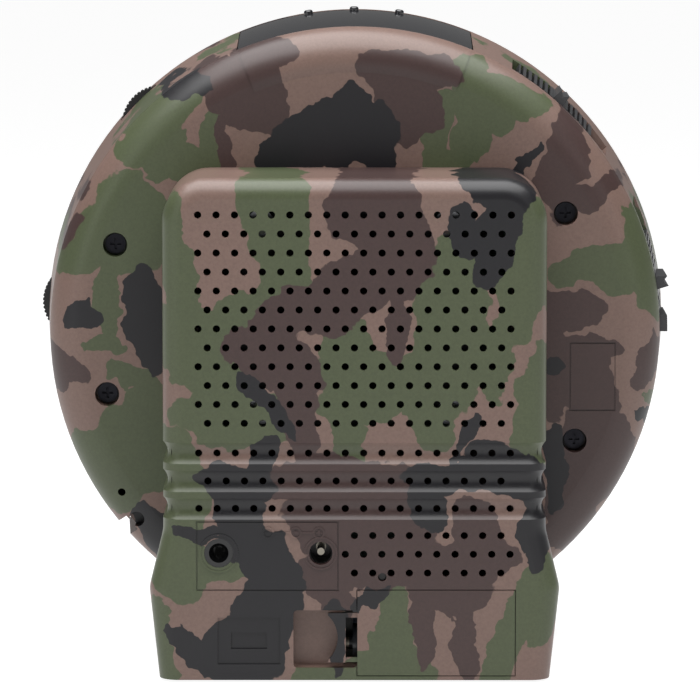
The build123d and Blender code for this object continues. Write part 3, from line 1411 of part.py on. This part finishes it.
with BuildPart() as display_module:
    with BuildSketch(upright(board_front_y)):
        with Locations(window_centre):
            Rectangle(2 * display_half[0], 2 * display_half[1])
    extrude(amount=board_front_y - front_wall_y - slip)
export_piece(display_module.part, "display_module")

board_post_places = [(x, drum_axis_z + z) for x, z in board_posts]
with BuildPart() as main_board:
    with BuildSketch(upright(board_back_y)):
        with Locations((0, drum_axis_z)):
            Rectangle(2 * board_half[0], 2 * board_half[1])
        with Locations(board_post_places):
            Circle(small_screw_radius + snug, mode=Mode.SUBTRACT)
    extrude(amount=board_thickness)
export_piece(main_board.part, "main_board")

with BuildPart() as main_board_screws:
    for x, z in board_post_places:
        seat = Plane((x, board_back_y, z), z_dir=(0, -1, 0))
        add(screw_solid(seat, small_screw_radius, small_screw_length, small_head_radius, small_head_height))
export_piece(main_board_screws.part, "main_board_screws")

plunger_front_y = board_front_y - tact_height - tact_plunger_height
with BuildPart() as button_switches:
    with BuildSketch(upright(board_front_y)):
        with Locations(button_centres):
            Rectangle(2 * tact_half, 2 * tact_half)
    extrude(amount=tact_height)
    with BuildSketch(upright(board_front_y - tact_height)):
        with Locations(button_centres):
            Circle(tact_plunger_radius)
    extrude(amount=tact_plunger_height)
export_piece(button_switches.part, "button_switches")

cap_front_y = front_wall_y - dial_thickness - cap_proud
cap_back_y = front_wall_back_y + snug + cap_flange
for number, centre in enumerate(button_centres, start=1):
    with BuildPart() as set_button:
        with BuildSketch(upright(cap_back_y)):
            with Locations(centre):
                SlotOverall(*button_size)
        extrude(amount=cap_back_y - cap_front_y)
        with BuildSketch(upright(cap_back_y)):
            with Locations(centre):
                SlotOverall(button_size[0] + 2 * flange_border, button_size[1] + 2 * flange_border)
        extrude(amount=cap_flange)
        stem_end_y = plunger_front_y - button_travel - snug
        with BuildSketch(upright(stem_end_y)):
            with Locations(centre):
                Circle(button_stem_radius)
        extrude(amount=stem_end_y - cap_back_y)
    export_piece(set_button.part, f"set_button_{number}")

# ---- Ribbon lead between the two boards ----
with BuildPart() as ribbon_lead:
    with BuildLine(Plane.YZ.offset(ribbon_x)) as ribbon_path:
        FilletPolyline(
            (board_back_y, ribbon_top_z),
            (ribbon_turn_y, ribbon_top_z),
            (ribbon_turn_y, ribbon_low_z),
            (jack_board_y, ribbon_low_z),
            radius=ribbon_round,
        )
    with BuildSketch(Plane((ribbon_x, board_back_y, ribbon_top_z), x_dir=(1, 0, 0), z_dir=(0, 1, 0))):
        Rectangle(ribbon_width, ribbon_thickness)
    sweep(path=ribbon_path.line)
export_piece(ribbon_lead.part, "ribbon_lead")

# ---- Base plate, rubber feet and the remaining screws ----
plate_front_y = foot_front_y + wall + plate_gap
plate_rear_y = face_inside_y - plate_gap
plate_under_z = plate_z + base_head_height
with BuildPart() as base_plate:
    with BuildSketch(floor_plane(plate_z)):
        with Locations((0, (plate_front_y + plate_rear_y) / 2)):
            Rectangle(2 * plate_half, plate_rear_y - plate_front_y)
        with Locations(plate_screws):
            Circle(screw_radius + snug, mode=Mode.SUBTRACT)
    extrude(amount=plate_thickness)
    with BuildSketch(floor_plane(plate_z)):
        with Locations(plate_screws):
            Circle(screw_head_radius + snug)
    extrude(amount=base_head_height, mode=Mode.SUBTRACT)
    with BuildSketch(floor_plane(plate_z)):
        with Locations(foot_places):
            Circle(foot_radius)
    extrude(amount=foot_sink, mode=Mode.SUBTRACT)
export_piece(base_plate.part, "base_plate")

with BuildPart() as rubber_feet:
    with BuildSketch(floor_plane(0)):
        with Locations(foot_places):
            Circle(foot_radius)
    extrude(amount=plate_z + foot_sink)
export_piece(rubber_feet.part, "rubber_feet")

with BuildPart() as base_screws:
    for x, y in plate_screws:
        seat = Plane((x, y, plate_under_z), z_dir=(0, 0, 1))
        add(screw_solid(seat, screw_radius, base_screw_length, screw_head_radius, base_head_height))
export_piece(base_screws.part, "base_screws")

with BuildPart() as housing_screws:
    for x, z in shell_screws:
        seat = Plane((x, drum_back_y - screw_recess_depth, drum_axis_z + z), z_dir=(0, -1, 0))
        add(screw_solid(seat, screw_radius, screw_length, screw_head_radius, screw_head_height))
export_piece(housing_screws.part, "housing_screws")

with BuildPart() as tower_screws:
    for x, z in tower_screw_places:
        seat = Plane((x, drum_back_y - wall, z), z_dir=(0, 1, 0))
        add(screw_solid(seat, screw_radius, tower_screw_length, screw_head_radius, screw_head_height))
export_piece(tower_screws.part, "tower_screws")
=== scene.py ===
import math

import bmesh
import bpy
from mathutils import Matrix, Vector


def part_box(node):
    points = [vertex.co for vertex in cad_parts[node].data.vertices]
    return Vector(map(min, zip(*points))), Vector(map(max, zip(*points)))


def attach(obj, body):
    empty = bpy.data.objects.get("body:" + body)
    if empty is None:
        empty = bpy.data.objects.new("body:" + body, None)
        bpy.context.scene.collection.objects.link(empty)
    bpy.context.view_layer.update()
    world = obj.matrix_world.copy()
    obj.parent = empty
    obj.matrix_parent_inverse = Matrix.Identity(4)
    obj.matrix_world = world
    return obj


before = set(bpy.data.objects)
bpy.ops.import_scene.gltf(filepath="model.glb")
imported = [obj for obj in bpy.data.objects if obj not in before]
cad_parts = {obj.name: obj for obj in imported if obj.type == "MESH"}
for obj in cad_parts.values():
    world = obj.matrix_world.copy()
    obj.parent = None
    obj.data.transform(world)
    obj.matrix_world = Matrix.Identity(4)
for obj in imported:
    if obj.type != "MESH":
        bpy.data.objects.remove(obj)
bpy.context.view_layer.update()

# ---- Camera ----
# The clock is seen from its vented back, level and a little from above,
# from far enough away that its sides hardly narrow.
mm = 0.001
aim_height = 92 * mm
aim = Vector((0, 0, aim_height))
distance = 1.3
pitch = math.radians(6.8)
yaw = math.radians(-0.15)
towards_camera = Vector(
    (math.sin(yaw) * math.cos(pitch), math.cos(yaw) * math.cos(pitch), math.sin(pitch))
)
camera_data = bpy.data.cameras.new("camera")
camera = bpy.data.objects.new("camera", camera_data)
bpy.context.collection.objects.link(camera)
camera.location = aim + towards_camera * distance
camera.rotation_euler = (-towards_camera).to_track_quat("-Z", "Y").to_euler()
camera_data.sensor_width = 36
camera_data.lens = 237
camera_data.shift_x = -0.007
camera_data.shift_y = -0.03
bpy.context.scene.camera = camera

# ---- Floor and studio light ----
# A pale seamless paper floor that runs on out of sight, a wide soft light above the clock,
# and two weaker ones at its sides, the left a little stronger, so the two flanks differ.


def linear(colour):
    """An sRGB hex colour as linear red, green, blue and 1."""
    channels = [int(colour[place : place + 2], 16) / 255 for place in (1, 3, 5)]
    return [c / 12.92 if c <= 0.04045 else ((c + 0.055) / 1.055) ** 2.4 for c in channels] + [1]


def add_node(tree, kind, settings=None, **inputs):
    """A node with its settings; an input is a value or another node's socket, named or numbered as in_3."""
    node = tree.nodes.new(kind)
    for name, value in (settings or {}).items():
        setattr(node, name, value)
    for name, value in inputs.items():
        key = int(name[3:]) if name.startswith("in_") else name.replace("_", " ")
        if isinstance(value, bpy.types.NodeSocket):
            tree.links.new(value, node.inputs[key])
        else:
            node.inputs[key].default_value = value
    return node


def new_material(name, **shader_inputs):
    """A material with one principled shader, and its tree and shader."""
    material = bpy.data.materials.new(name)
    material.use_nodes = True
    tree = material.node_tree
    shader = tree.nodes["Principled BSDF"]
    for key, value in shader_inputs.items():
        shader.inputs[key.replace("_", " ")].default_value = value
    return material, tree, shader


# Half of the paper's width, in metres: wide enough that its edge is far behind the clock.
floor_reach = 6
floor_mesh = bpy.data.meshes.new("floor")
floor_form = bmesh.new()
bmesh.ops.create_grid(floor_form, x_segments=1, y_segments=1, size=floor_reach)
floor_form.to_mesh(floor_mesh)
floor = bpy.data.objects.new("floor", floor_mesh)
bpy.context.collection.objects.link(floor)
# Matt seamless paper: no highlight, and lit hard enough to come out white, which the glow stands for.
paper, paper_tree, paper_shader = new_material("seamless_paper", Roughness=0.8)
paper_shader.inputs["Base Color"].default_value = linear("#808080")
paper_shader.inputs["Emission Color"].default_value = linear("#ffffff")
paper_shader.inputs["Emission Strength"].default_value = 0.92
floor_mesh.materials.append(paper)

world = bpy.data.worlds.new("studio")
bpy.context.scene.world = world
world.use_nodes = True
world.node_tree.nodes["Background"].inputs["Color"].default_value = linear("#ffffff")
world.node_tree.nodes["Background"].inputs["Strength"].default_value = 0.16


def soft_light(name, place, look_at, size, power):
    """A rectangular soft light that faces a point."""
    data = bpy.data.lights.new(name, "AREA")
    data.shape = "RECTANGLE"
    data.size, data.size_y = size
    data.energy = power
    light = bpy.data.objects.new(name, data)
    bpy.context.collection.objects.link(light)
    light.location = place
    light.rotation_euler = (Vector(look_at) - Vector(place)).to_track_quat("-Z", "Y").to_euler()


soft_light("overhead", (0.05, 0.15, 1.0), (0.02, 0.05, 0.1), (1.3, 1.1), 25)
soft_light("left_side", (0.9, 0.9, 0.45), (0, 0, 0.09), (0.5, 0.7), 1.4)
soft_light("right_side", (-0.9, 0.9, 0.45), (0, 0, 0.09), (0.5, 0.7), 0.8)

bpy.context.scene.view_settings.view_transform = "Standard"

# ---- Drum shells ----
# The front and rear shells of the drum, moulded in ABS and screwed together from behind, then dipped
# in a printed woodland film and lacquered.

# The film is taupe with ragged green, brown and black patches laid over it in that order.
CAMOUFLAGE_BASE = "#6d5850"
CAMOUFLAGE_INKS = {"green": "#454c35", "brown": "#3c2c2a", "black": "#121115"}

# Patches as (x, z) to (x, z) along the middle, and half the width, in millimetres.
drum_patches = {
    "green": [
        (60, 148, 47, 156, 5), (64, 142, 42, 138, 6), (61, 146, 50, 147, 6), (39.5, 152, 40, 138, 3),
        (66, 131, 56, 112, 9), (73, 122, 62, 112, 8), (85, 112, 70, 112, 4.5), (69, 110, 69, 90, 3.4),
        (74, 87, 66, 88, 2.5), (68, 81, 55, 74, 2.5), (68, 62, 54, 54, 11), (76, 58, 64, 44, 9),
        (62, 71, 54, 66, 6), (-32, 167, -33, 150, 5), (-30, 160, -53, 154, 4.5), (-35, 159, -40, 150, 6),
        (-26, 157, -21, 142, 3), (-21, 140, -31, 137, 5), (-29, 149, -31, 136, 3), (-34, 151, -35, 139, 2.8),
        (-80, 126, -85, 97, 6), (-56, 107, -74, 113, 4), (-66, 112, -84, 105, 6.5), (-82, 73, -85, 71, 2),
        (48, 168, 34, 173, 2),
    ],
    "brown": [
        (42, 163, 26, 154, 7), (30, 170, 23, 149, 6), (37, 154, 24, 150, 4), (37, 151, 36, 134, 2.5),
        (30, 171, 17, 169, 4), (-3, 165, -27, 163, 5.5), (-10, 164, -20, 150, 8), (-13, 154, -16, 145, 5),
        (-60, 151, -57, 123, 5), (-54, 137, -54, 127, 4), (-76, 134, -60, 126, 3), (-48, 98, -68, 97, 5),
        (-55, 96, -55, 68, 5), (-56, 88, -75, 86, 3), (-61, 87, -70, 65, 7), (-66, 68, -71, 48, 10),
        (-60, 52, -62, 34, 7), (-54, 35, -61, 29, 4), (-85, 89, -80, 76, 3), (88, 85, 76, 78, 3.5),
        (84, 78, 80, 75, 3), (77, 127, 75, 132, 1.5), (83, 116, 76, 122, 2),
    ],
    "black": [
        (26, 138, 10, 145, 5), (19, 146, -9, 146, 8), (2, 158, -4, 138, 6), (-7, 154, -7, 135, 4),
        (54, 158, 41, 160, 2.8), (60, 107, 56, 80, 5.5), (80, 95, 73, 96, 3.5), (-41, 134, -46, 136, 2),
        (-44, 136, -52, 143, 1.6), (-56, 64, -57, 40, 3.4), (-80, 68, -84, 66, 2), (-54, 82, -57, 81, 2),
        # The last black patch, low between the notch and the tower's left side, lies where the drum is in
        # shade: its black is partly print and partly painted shade.
        (60, 40, 50, 26, 5),
    ],
}


def camouflage(name, patches, face_depth, rise=0.0, bare_well=None):
    """The film's colours; patches drift behind face_depth, start at rise, and leave a box bare."""
    # Printed film under a thin satin lacquer: a broad, soft highlight with a faint clearer one on it.
    material, tree, shader = new_material(name, Roughness=0.4, IOR=1.42)
    shader.inputs["Coat Weight"].default_value = 0.12
    shader.inputs["Coat Roughness"].default_value = 0.3
    place = add_node(tree, "ShaderNodeTexCoord").outputs["Object"]
    depth = add_node(tree, "ShaderNodeSeparateXYZ", Vector=place).outputs["Y"]
    drift_start = 6 * mm
    drift_end = 40 * mm
    most_drift = 26 * mm
    drift = add_node(
        tree, "ShaderNodeMapRange", {"interpolation_type": "SMOOTHSTEP"},
        Value=depth, From_Min=face_depth - drift_start, From_Max=face_depth - drift_end,
        To_Min=0, To_Max=most_drift,
    ).outputs[0]
    # Coarse to fine wanderings of the patches' edges, as grain and reach; the finest frays the print.
    moved = place
    for grain, reach in ((30 * mm, drift), (9 * mm, 7 * mm), (3 * mm, 3.2 * mm), (1 * mm, 0.6 * mm)):
        noise = add_node(
            tree, "ShaderNodeTexNoise", {"noise_dimensions": "3D"}, Vector=place, Scale=1 / grain, Detail=1.0
        ).outputs["Color"]
        centred = add_node(
            tree, "ShaderNodeVectorMath", {"operation": "SUBTRACT"}, in_0=noise, in_1=(0.5, 0.5, 0.5)
        ).outputs[0]
        step = add_node(
            tree, "ShaderNodeVectorMath", {"operation": "SCALE"}, in_0=centred, Scale=reach
        ).outputs[0]
        moved = add_node(
            tree, "ShaderNodeVectorMath", {"operation": "ADD"}, in_0=moved, in_1=step
        ).outputs[0]
    flat = add_node(
        tree, "ShaderNodeVectorMath", {"operation": "MULTIPLY"}, in_0=moved, in_1=(1, 0, 1)
    ).outputs[0]
    patch_spread = 1.12
    patch_join = 0.12
    colour = None
    for ink, strokes in patches.items():
        nearest = None
        for x1, z1, x2, z2, half_width in strokes:
            half_length = math.hypot(x2 - x1, z2 - z1) / 2 + half_width / 2
            turn = -math.atan2(z2 - z1, x2 - x1)
            local = add_node(
                tree, "ShaderNodeMapping", {"vector_type": "TEXTURE"},
                Vector=flat, Location=((x1 + x2) / 2 * mm, 0, (z1 + z2) / 2 * mm + rise),
                Rotation=(0, turn, 0), Scale=(half_length * mm, 1, half_width * patch_spread * mm),
            ).outputs[0]
            reach = add_node(
                tree, "ShaderNodeVectorMath", {"operation": "LENGTH"}, in_0=local
            ).outputs["Value"]
            if nearest is not None:
                reach = add_node(
                    tree, "ShaderNodeMath", {"operation": "SMOOTH_MIN"},
                    in_0=nearest, in_1=reach, in_2=patch_join,
                ).outputs[0]
            nearest = reach
        covered = add_node(
            tree, "ShaderNodeMapRange", Value=nearest, From_Min=1.01, From_Max=0.99, To_Min=0, To_Max=1
        ).outputs[0]
        colour = add_node(
            tree, "ShaderNodeMix", {"data_type": "RGBA"}, in_0=covered,
            in_6=linear(CAMOUFLAGE_BASE) if colour is None else colour, in_7=linear(CAMOUFLAGE_INKS[ink]),
        ).outputs[2]
    if bare_well:
        low, high = bare_well
        middle = (low + high) / 2
        half = (high - low) / 2
        inside = add_node(
            tree, "ShaderNodeVectorMath", {"operation": "ABSOLUTE"},
            in_0=add_node(
                tree, "ShaderNodeVectorMath", {"operation": "SUBTRACT"}, in_0=place, in_1=middle
            ).outputs[0],
        ).outputs[0]
        reach = add_node(
            tree, "ShaderNodeVectorMath", {"operation": "DIVIDE"}, in_0=inside, in_1=half
        ).outputs[0]
        sides = add_node(tree, "ShaderNodeSeparateXYZ", Vector=reach).outputs
        widest = add_node(
            tree, "ShaderNodeMath", {"operation": "MAXIMUM"}, in_0=sides["X"], in_1=sides["Y"]
        ).outputs[0]
        widest = add_node(
            tree, "ShaderNodeMath", {"operation": "MAXIMUM"}, in_0=widest, in_1=sides["Z"]
        ).outputs[0]
        bare = add_node(tree, "ShaderNodeMath", {"operation": "LESS_THAN"}, in_0=widest, in_1=1.0).outputs[0]
        colour = add_node(
            tree, "ShaderNodeMix", {"data_type": "RGBA"}, in_0=bare, in_6=colour, in_7=linear(CAMOUFLAGE_BASE)
        ).outputs[2]
    # The print's fine mottling, and the faint tooth of the lacquer.
    mottle = add_node(
        tree, "ShaderNodeTexNoise", Vector=place, Scale=1 / (0.7 * mm), Detail=3.0, Roughness=0.6
    ).outputs[0]
    shade = add_node(
        tree, "ShaderNodeMapRange", Value=mottle, From_Min=0.3, From_Max=0.7, To_Min=0.9, To_Max=1.1
    ).outputs[0]
    tinted = add_node(
        tree, "ShaderNodeVectorMath", {"operation": "SCALE"}, in_0=colour, Scale=shade
    ).outputs[0]
    tree.links.new(tinted, shader.inputs["Base Color"])
    bump = add_node(tree, "ShaderNodeBump", Height=mottle, Strength=0.12, Distance=0.05 * mm)
    tree.links.new(bump.outputs[0], shader.inputs["Normal"])
    return material


def finish_nodes(material, *nodes):
    """Gives CAD nodes this material in all their slots."""
    for node in nodes:
        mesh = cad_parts[node].data
        mesh.materials.clear()
        mesh.materials.append(material)


# The drum's patches lie this much higher than their list says.
drum_patch_rise = 1.5 * mm
drum_film = camouflage("camouflage_film_drum", drum_patches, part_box("tower_cover")[0].y, rise=drum_patch_rise)
finish_nodes(drum_film, "front_shell", "rear_shell")

# ---- Tower cover and battery door ----
# The vented cover of the alarm speaker and the small door over the backup cells, moulded in ABS and
# dipped in the same film as the drum. The finger well beside the door's latch is left bare.

tower_patches = {
    "green": [
        (52, 138, 46, 96, 4), (52, 98, 30, 87, 10), (46, 75, 20, 72, 8), (24, 142, 20, 116, 9),
        (20, 126, 18, 104, 6), (18, 108, 42, 99, 4.5), (2, 100, 2, 86, 6.5), (7, 85, -34, 84, 6.5),
        (7, 78, -12, 77, 6), (-26, 119, -27, 78, 9), (-19, 80, -22, 67, 6), (-49, 130, -44, 96, 6.5),
        (-40, 102, -38, 78, 3.5), (-50, 92, -48, 58, 5), (2, 76, 2, 58, 4), (52, 68, 44, 44, 7),
        (54, 44, 44, 26, 8), (44, 31, 30, 32, 3.5), (55, 24, 52, 0, 3.5), (-10, 26, -10, 4, 4.5),
        (-1, 4, -20, 3, 6), (-52, 34, -50, 14, 6), (-46, 24, -37, -2, 4), (17, 2, 1, 2, 3),
    ],
    "brown": [
        (2, 143, -14, 142, 8), (-2, 136, -8, 126, 11), (-8, 132, -14, 110, 9), (-12, 116, 14, 101, 8),
        (8, 108, 34, 92, 5.5), (28, 92, 12, 84, 7), (17, 92, 13, 62, 5), (-12, 108, -12, 89, 2.4),
        (22, 56, -16, 54, 7), (16, 46, -4, 40, 8), (10, 32, -26, 34, 6.5), (4, 49, -18, 42, 8),
        (-18, 32, -42, 35, 6), (-31, 48, -37, 34, 5.5), (13, 32, 2, 21, 5), (-16, 27, -35, 25, 6),
        (-18, 24, -19, 6, 3.5), (-29, 24, -32, -1, 3),
    ],
    "black": [
        (21, 143, 8, 141.5, 2.5), (-32, 140, -46, 136, 8), (-29, 131, -30, 118, 3), (-40, 132, -36, 111, 5.5),
        (31, 84, 25, 80, 2.5), (27, 81, 16, 69, 2.2), (-34, 74, -27, 62, 1.6), (-15, 57, -42, 58, 4.5),
        (-34, 64, -52, 52, 6), (-19, 58, -22, 44, 4.5), (-50, 56, -49, 33, 4), (22, 67, 30, 55, 3),
        (41, 57, 24, 54, 5), (34, 56, 28, 34, 6), (28, 40, 18, 22, 7), (24, 27, 27, 4, 8),
        (36, 14, 30, 1, 7), (50, 15, 36, 0, 3), (49, 41.5, 36, 40.5, 1.7), (0, 20, -8, 26.5, 1.8),
        (5, 21, 5, 4, 3),
    ],
}
tower_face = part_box("tower_cover")[1].y
well_low = Vector((-1 * mm, tower_face - 9 * mm, 3 * mm))
well_high = Vector((17.2 * mm, tower_face - 1 * mm, 21 * mm))
tower_film = camouflage("camouflage_film_tower", tower_patches, tower_face, bare_well=(well_low, well_high))
door_film = camouflage("camouflage_film_door", tower_patches, tower_face)
finish_nodes(tower_film, "tower_cover")
finish_nodes(door_film, "battery_door")

# ---- Backup cells and their contacts ----
# Two AAA cells in shrink sleeves, pressed into the bay behind the door and held by contacts of
# nickel-plated spring steel.


def moulded(name, colour, roughness, grain=0.4 * mm, depth=0.02 * mm, **more):
    """A moulded plastic or rubber with a fine tooth of the given grain."""
    material, tree, shader = new_material(name, Roughness=roughness, IOR=1.5, **more)
    place = add_node(tree, "ShaderNodeTexCoord").outputs["Object"]
    noise = add_node(tree, "ShaderNodeTexNoise", Vector=place, Scale=1 / grain, Detail=2.0).outputs[0]
    shade = add_node(
        tree, "ShaderNodeMapRange", Value=noise, From_Min=0.3, From_Max=0.7, To_Min=0.88, To_Max=1.12
    ).outputs[0]
    tinted = add_node(
        tree, "ShaderNodeVectorMath", {"operation": "SCALE"}, in_0=linear(colour)[:3], Scale=shade
    ).outputs[0]
    tree.links.new(tinted, shader.inputs["Base Color"])
    bump = add_node(tree, "ShaderNodeBump", Height=noise, Strength=0.3, Distance=depth)
    tree.links.new(bump.outputs[0], shader.inputs["Normal"])
    return material


def plated(name, colour, roughness):
    """Plated metal, with a roughness that wanders a little over a few millimetres."""
    material, tree, shader = new_material(name, Metallic=1.0)
    shader.inputs["Base Color"].default_value = linear(colour)
    place = add_node(tree, "ShaderNodeTexCoord").outputs["Object"]
    noise = add_node(tree, "ShaderNodeTexNoise", Vector=place, Scale=1 / (3 * mm), Detail=3.0).outputs[0]
    rough = add_node(
        tree, "ShaderNodeMapRange", Value=noise, From_Min=0.3, From_Max=0.7,
        To_Min=roughness - 0.06, To_Max=roughness + 0.06,
    ).outputs[0]
    tree.links.new(rough, shader.inputs["Roughness"])
    return material


# Nickel plate gives a warm grey mirror, a little blurred; the PVC sleeve a dark, slick shine.
nickel = plated("nickel_plated_steel", "#8a857b", 0.3)
finish_nodes(moulded("cell_sleeve_pvc", "#23262c", 0.3), "backup_cell_1", "backup_cell_2")
finish_nodes(nickel, "battery_contacts")

# ---- Loudspeaker ----
# A pressed, zinc-plated basket with a paper cone and a black ferrite magnet, screwed behind the
# vents on a foam gasket.

# Zinc plate is a cool, even grey. Paper, ferrite and foam are dull blacks, each rougher than the last.
zinc = plated("zinc_plated_steel", "#8d8f92", 0.35)
finish_nodes(zinc, "speaker_basket", "speaker_screws")
finish_nodes(moulded("speaker_paper", "#121214", 0.9, grain=0.9 * mm, depth=0.06 * mm), "speaker_cone")
finish_nodes(moulded("sintered_ferrite", "#202022", 0.6, grain=0.8 * mm, depth=0.05 * mm), "speaker_magnet")
finish_nodes(moulded("gasket_foam", "#0e0e0f", 0.95, grain=0.6 * mm, depth=0.1 * mm), "speaker_gasket")

# ---- Jacks, reset switch and their board ----
# Two sockets and a reset switch moulded in black nylon, soldered on a small board that is screwed
# inside the tower. The shaker jack's nose is polished where the plug's collar seats.

# Nylon has a soft sheen, the polished nose a sharp one, and the green laminate a low, even one.
nylon_black = moulded("nylon_black", "#0c0c0d", 0.3)
laminate = moulded("board_laminate", "#17402a", 0.45)
finish_nodes(moulded("nylon_polished", "#0b0b0c", 0.12, depth=0.002 * mm), "shaker_jack")
finish_nodes(nylon_black, "dc_jack", "reset_switch")
finish_nodes(laminate, "jack_board")
finish_nodes(zinc, "jack_board_screws")
finish_nodes(nickel, "dc_jack_pin")
finish_nodes(moulded("abs_black_satin", "#111112", 0.4), "reset_button")

# ---- Snooze bar ----
# A long bar moulded in polished black ABS, let into the drum's top over a tact switch and pushed
# up by two steel springs.

# Polished ABS gives a clear, fairly sharp highlight over a deep black.
finish_nodes(moulded("abs_black_polished", "#101015", 0.24, depth=0.003 * mm, Coat_Weight=0.6), "snooze_bar")
finish_nodes(nylon_black, "snooze_switch")
finish_nodes(zinc, "snooze_spring_1", "snooze_spring_2")

# ---- Thumbwheels ----
# Two knurled wheels moulded in black ABS and pressed on the shafts of potentiometers, which are
# fixed inside the rim so that a part of each wheel stands out. The ABS is satin, to grip.
finish_nodes(moulded("abs_black_wheel", "#0f0f10", 0.45), "volume_wheel", "tone_wheel")
finish_nodes(nylon_black, "volume_pot", "tone_pot")

# ---- Sliders ----
# Two ribbed slides moulded in dark grey satin ABS, which run in the rim's slots and carry the
# levers of slide switches fixed inside.
finish_nodes(moulded("abs_dark_grey", "#2e2e30", 0.36), "mode_slider", "shaker_slider")
finish_nodes(nylon_black, "mode_switch", "shaker_switch")

# ---- Dial side ----
# A black ABS bezel and dial panel, set in the front shell, round a smoked acrylic lens over the
# display, with five black set buttons below it and the main board behind.

# The bezel and panel are satin black, the display's epoxy is glossier, and the ribbon's PVC is pale.
dial_black = moulded("abs_dial_black", "#131314", 0.35)
finish_nodes(dial_black, "dial_panel", "bezel_ring")
set_buttons = [f"set_button_{number}" for number in range(1, 6)]
finish_nodes(moulded("abs_black_button", "#1d1d1f", 0.45), *set_buttons)
finish_nodes(nylon_black, "button_switches")
finish_nodes(laminate, "main_board")
finish_nodes(zinc, "main_board_screws")
finish_nodes(moulded("ribbon_pvc", "#77797d", 0.5), "ribbon_lead")
finish_nodes(moulded("display_epoxy", "#0a0a0b", 0.3), "display_module")
# Cast acrylic, smoked red: it lets the lit digits through and hides the rest, with a sharp highlight.
smoked, smoked_tree, smoked_shader = new_material(
    "smoked_acrylic", Roughness=0.04, IOR=1.49, Transmission_Weight=1.0
)
haze = add_node(
    smoked_tree, "ShaderNodeTexNoise",
    Vector=add_node(smoked_tree, "ShaderNodeTexCoord").outputs["Object"], Scale=1 / (8 * mm), Detail=2.0,
).outputs[0]
tint = add_node(
    smoked_tree, "ShaderNodeMix", {"data_type": "RGBA"},
    in_0=haze, in_6=linear("#7a3232"), in_7=linear("#873a38"),
).outputs[2]
smoked_tree.links.new(tint, smoked_shader.inputs["Base Color"])
finish_nodes(smoked, "display_lens")

# The display's seven-segment digits: moulded light pipes, red where they are lit, showing a plain time.
digit_height = 26 * mm
digit_width = 13 * mm
bar_width = 2.6 * mm
bar_gap = 0.5 * mm
bar_depth = 0.12 * mm
digit_pitch = 19 * mm
slant = 0.1
digit_places = (-1.62, -0.62, 0.62, 1.62)
colon_rise = 5 * mm
lit_bars = {"1": "bc", "2": "abged", "0": "abcdef"}
display_low, display_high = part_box("display_module")
display_middle_z = (display_low.z + display_high.z) / 2
bars = bmesh.new()


def display_bar(middle_x, middle_z, length, upright):
    """One bar of a digit, with pointed ends, on the display's face."""
    made = bmesh.ops.create_circle(bars, cap_ends=True, segments=6, radius=0.5)["verts"]
    bmesh.ops.scale(bars, vec=(length, bar_width * 2 / math.sqrt(3), 1), verts=made)
    if upright:
        bmesh.ops.rotate(bars, cent=(0, 0, 0), matrix=Matrix.Rotation(math.pi / 2, 3, "Z"), verts=made)
    bmesh.ops.rotate(bars, cent=(0, 0, 0), matrix=Matrix.Rotation(math.pi / 2, 3, "X"), verts=made)
    bmesh.ops.translate(bars, vec=(middle_x, display_low.y, display_middle_z + middle_z), verts=made)


half_h = digit_height / 2
half_w = digit_width / 2
bar_places = {
    "a": (0, half_h, False), "d": (0, -half_h, False), "g": (0, 0, False),
    "b": (half_w, half_h / 2, True), "c": (half_w, -half_h / 2, True),
    "f": (-half_w, half_h / 2, True), "e": (-half_w, -half_h / 2, True),
}
for place, digit in zip(digit_places, "1200"):
    for bar in lit_bars[digit]:
        x, z, is_upright = bar_places[bar]
        length = (digit_height / 2 if is_upright else digit_width) - bar_gap
        display_bar(place * digit_pitch + x + slant * z, z, length, is_upright)
for z in (-colon_rise, colon_rise):
    display_bar(slant * z, z, bar_width, False)
faces = bars.faces[:]
grown = bmesh.ops.extrude_face_region(bars, geom=faces)
raised = [part for part in grown["geom"] if isinstance(part, bmesh.types.BMVert)]
bmesh.ops.translate(bars, vec=(0, -bar_depth, 0), verts=raised)
bmesh.ops.recalc_face_normals(bars, faces=bars.faces[:])
digits_mesh = bpy.data.meshes.new("display_digits")
bars.to_mesh(digits_mesh)
digits = bpy.data.objects.new("display_digits", digits_mesh)
bpy.context.collection.objects.link(digits)
# Red light pipes: lit from behind, so they glow evenly and show hardly any highlight.
glow = moulded("light_pipe_red", "#8c1414", 0.4)
glow_shader = glow.node_tree.nodes["Principled BSDF"]
glow_shader.inputs["Emission Color"].default_value = linear("#ff2a1a")
glow_shader.inputs["Emission Strength"].default_value = 1.5
digits_mesh.materials.append(glow)
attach(digits, "housing")

# ---- Base plate, feet and screws ----
# A flat ABS plate screwed under the stand, with four rubber feet stuck under it, and the
# blackened steel screws that hold the shells, the tower and the plate.

# The plate is satin, the rubber quite matt, and the blackened steel keeps a dull metal glint.
finish_nodes(moulded("abs_base_black", "#19191a", 0.5), "base_plate")
finish_nodes(moulded("rubber_black", "#0f0f10", 0.75), "rubber_feet")
blackened = plated("blackened_steel", "#26262a", 0.38)
finish_nodes(blackened, "housing_screws", "base_screws", "tower_screws")
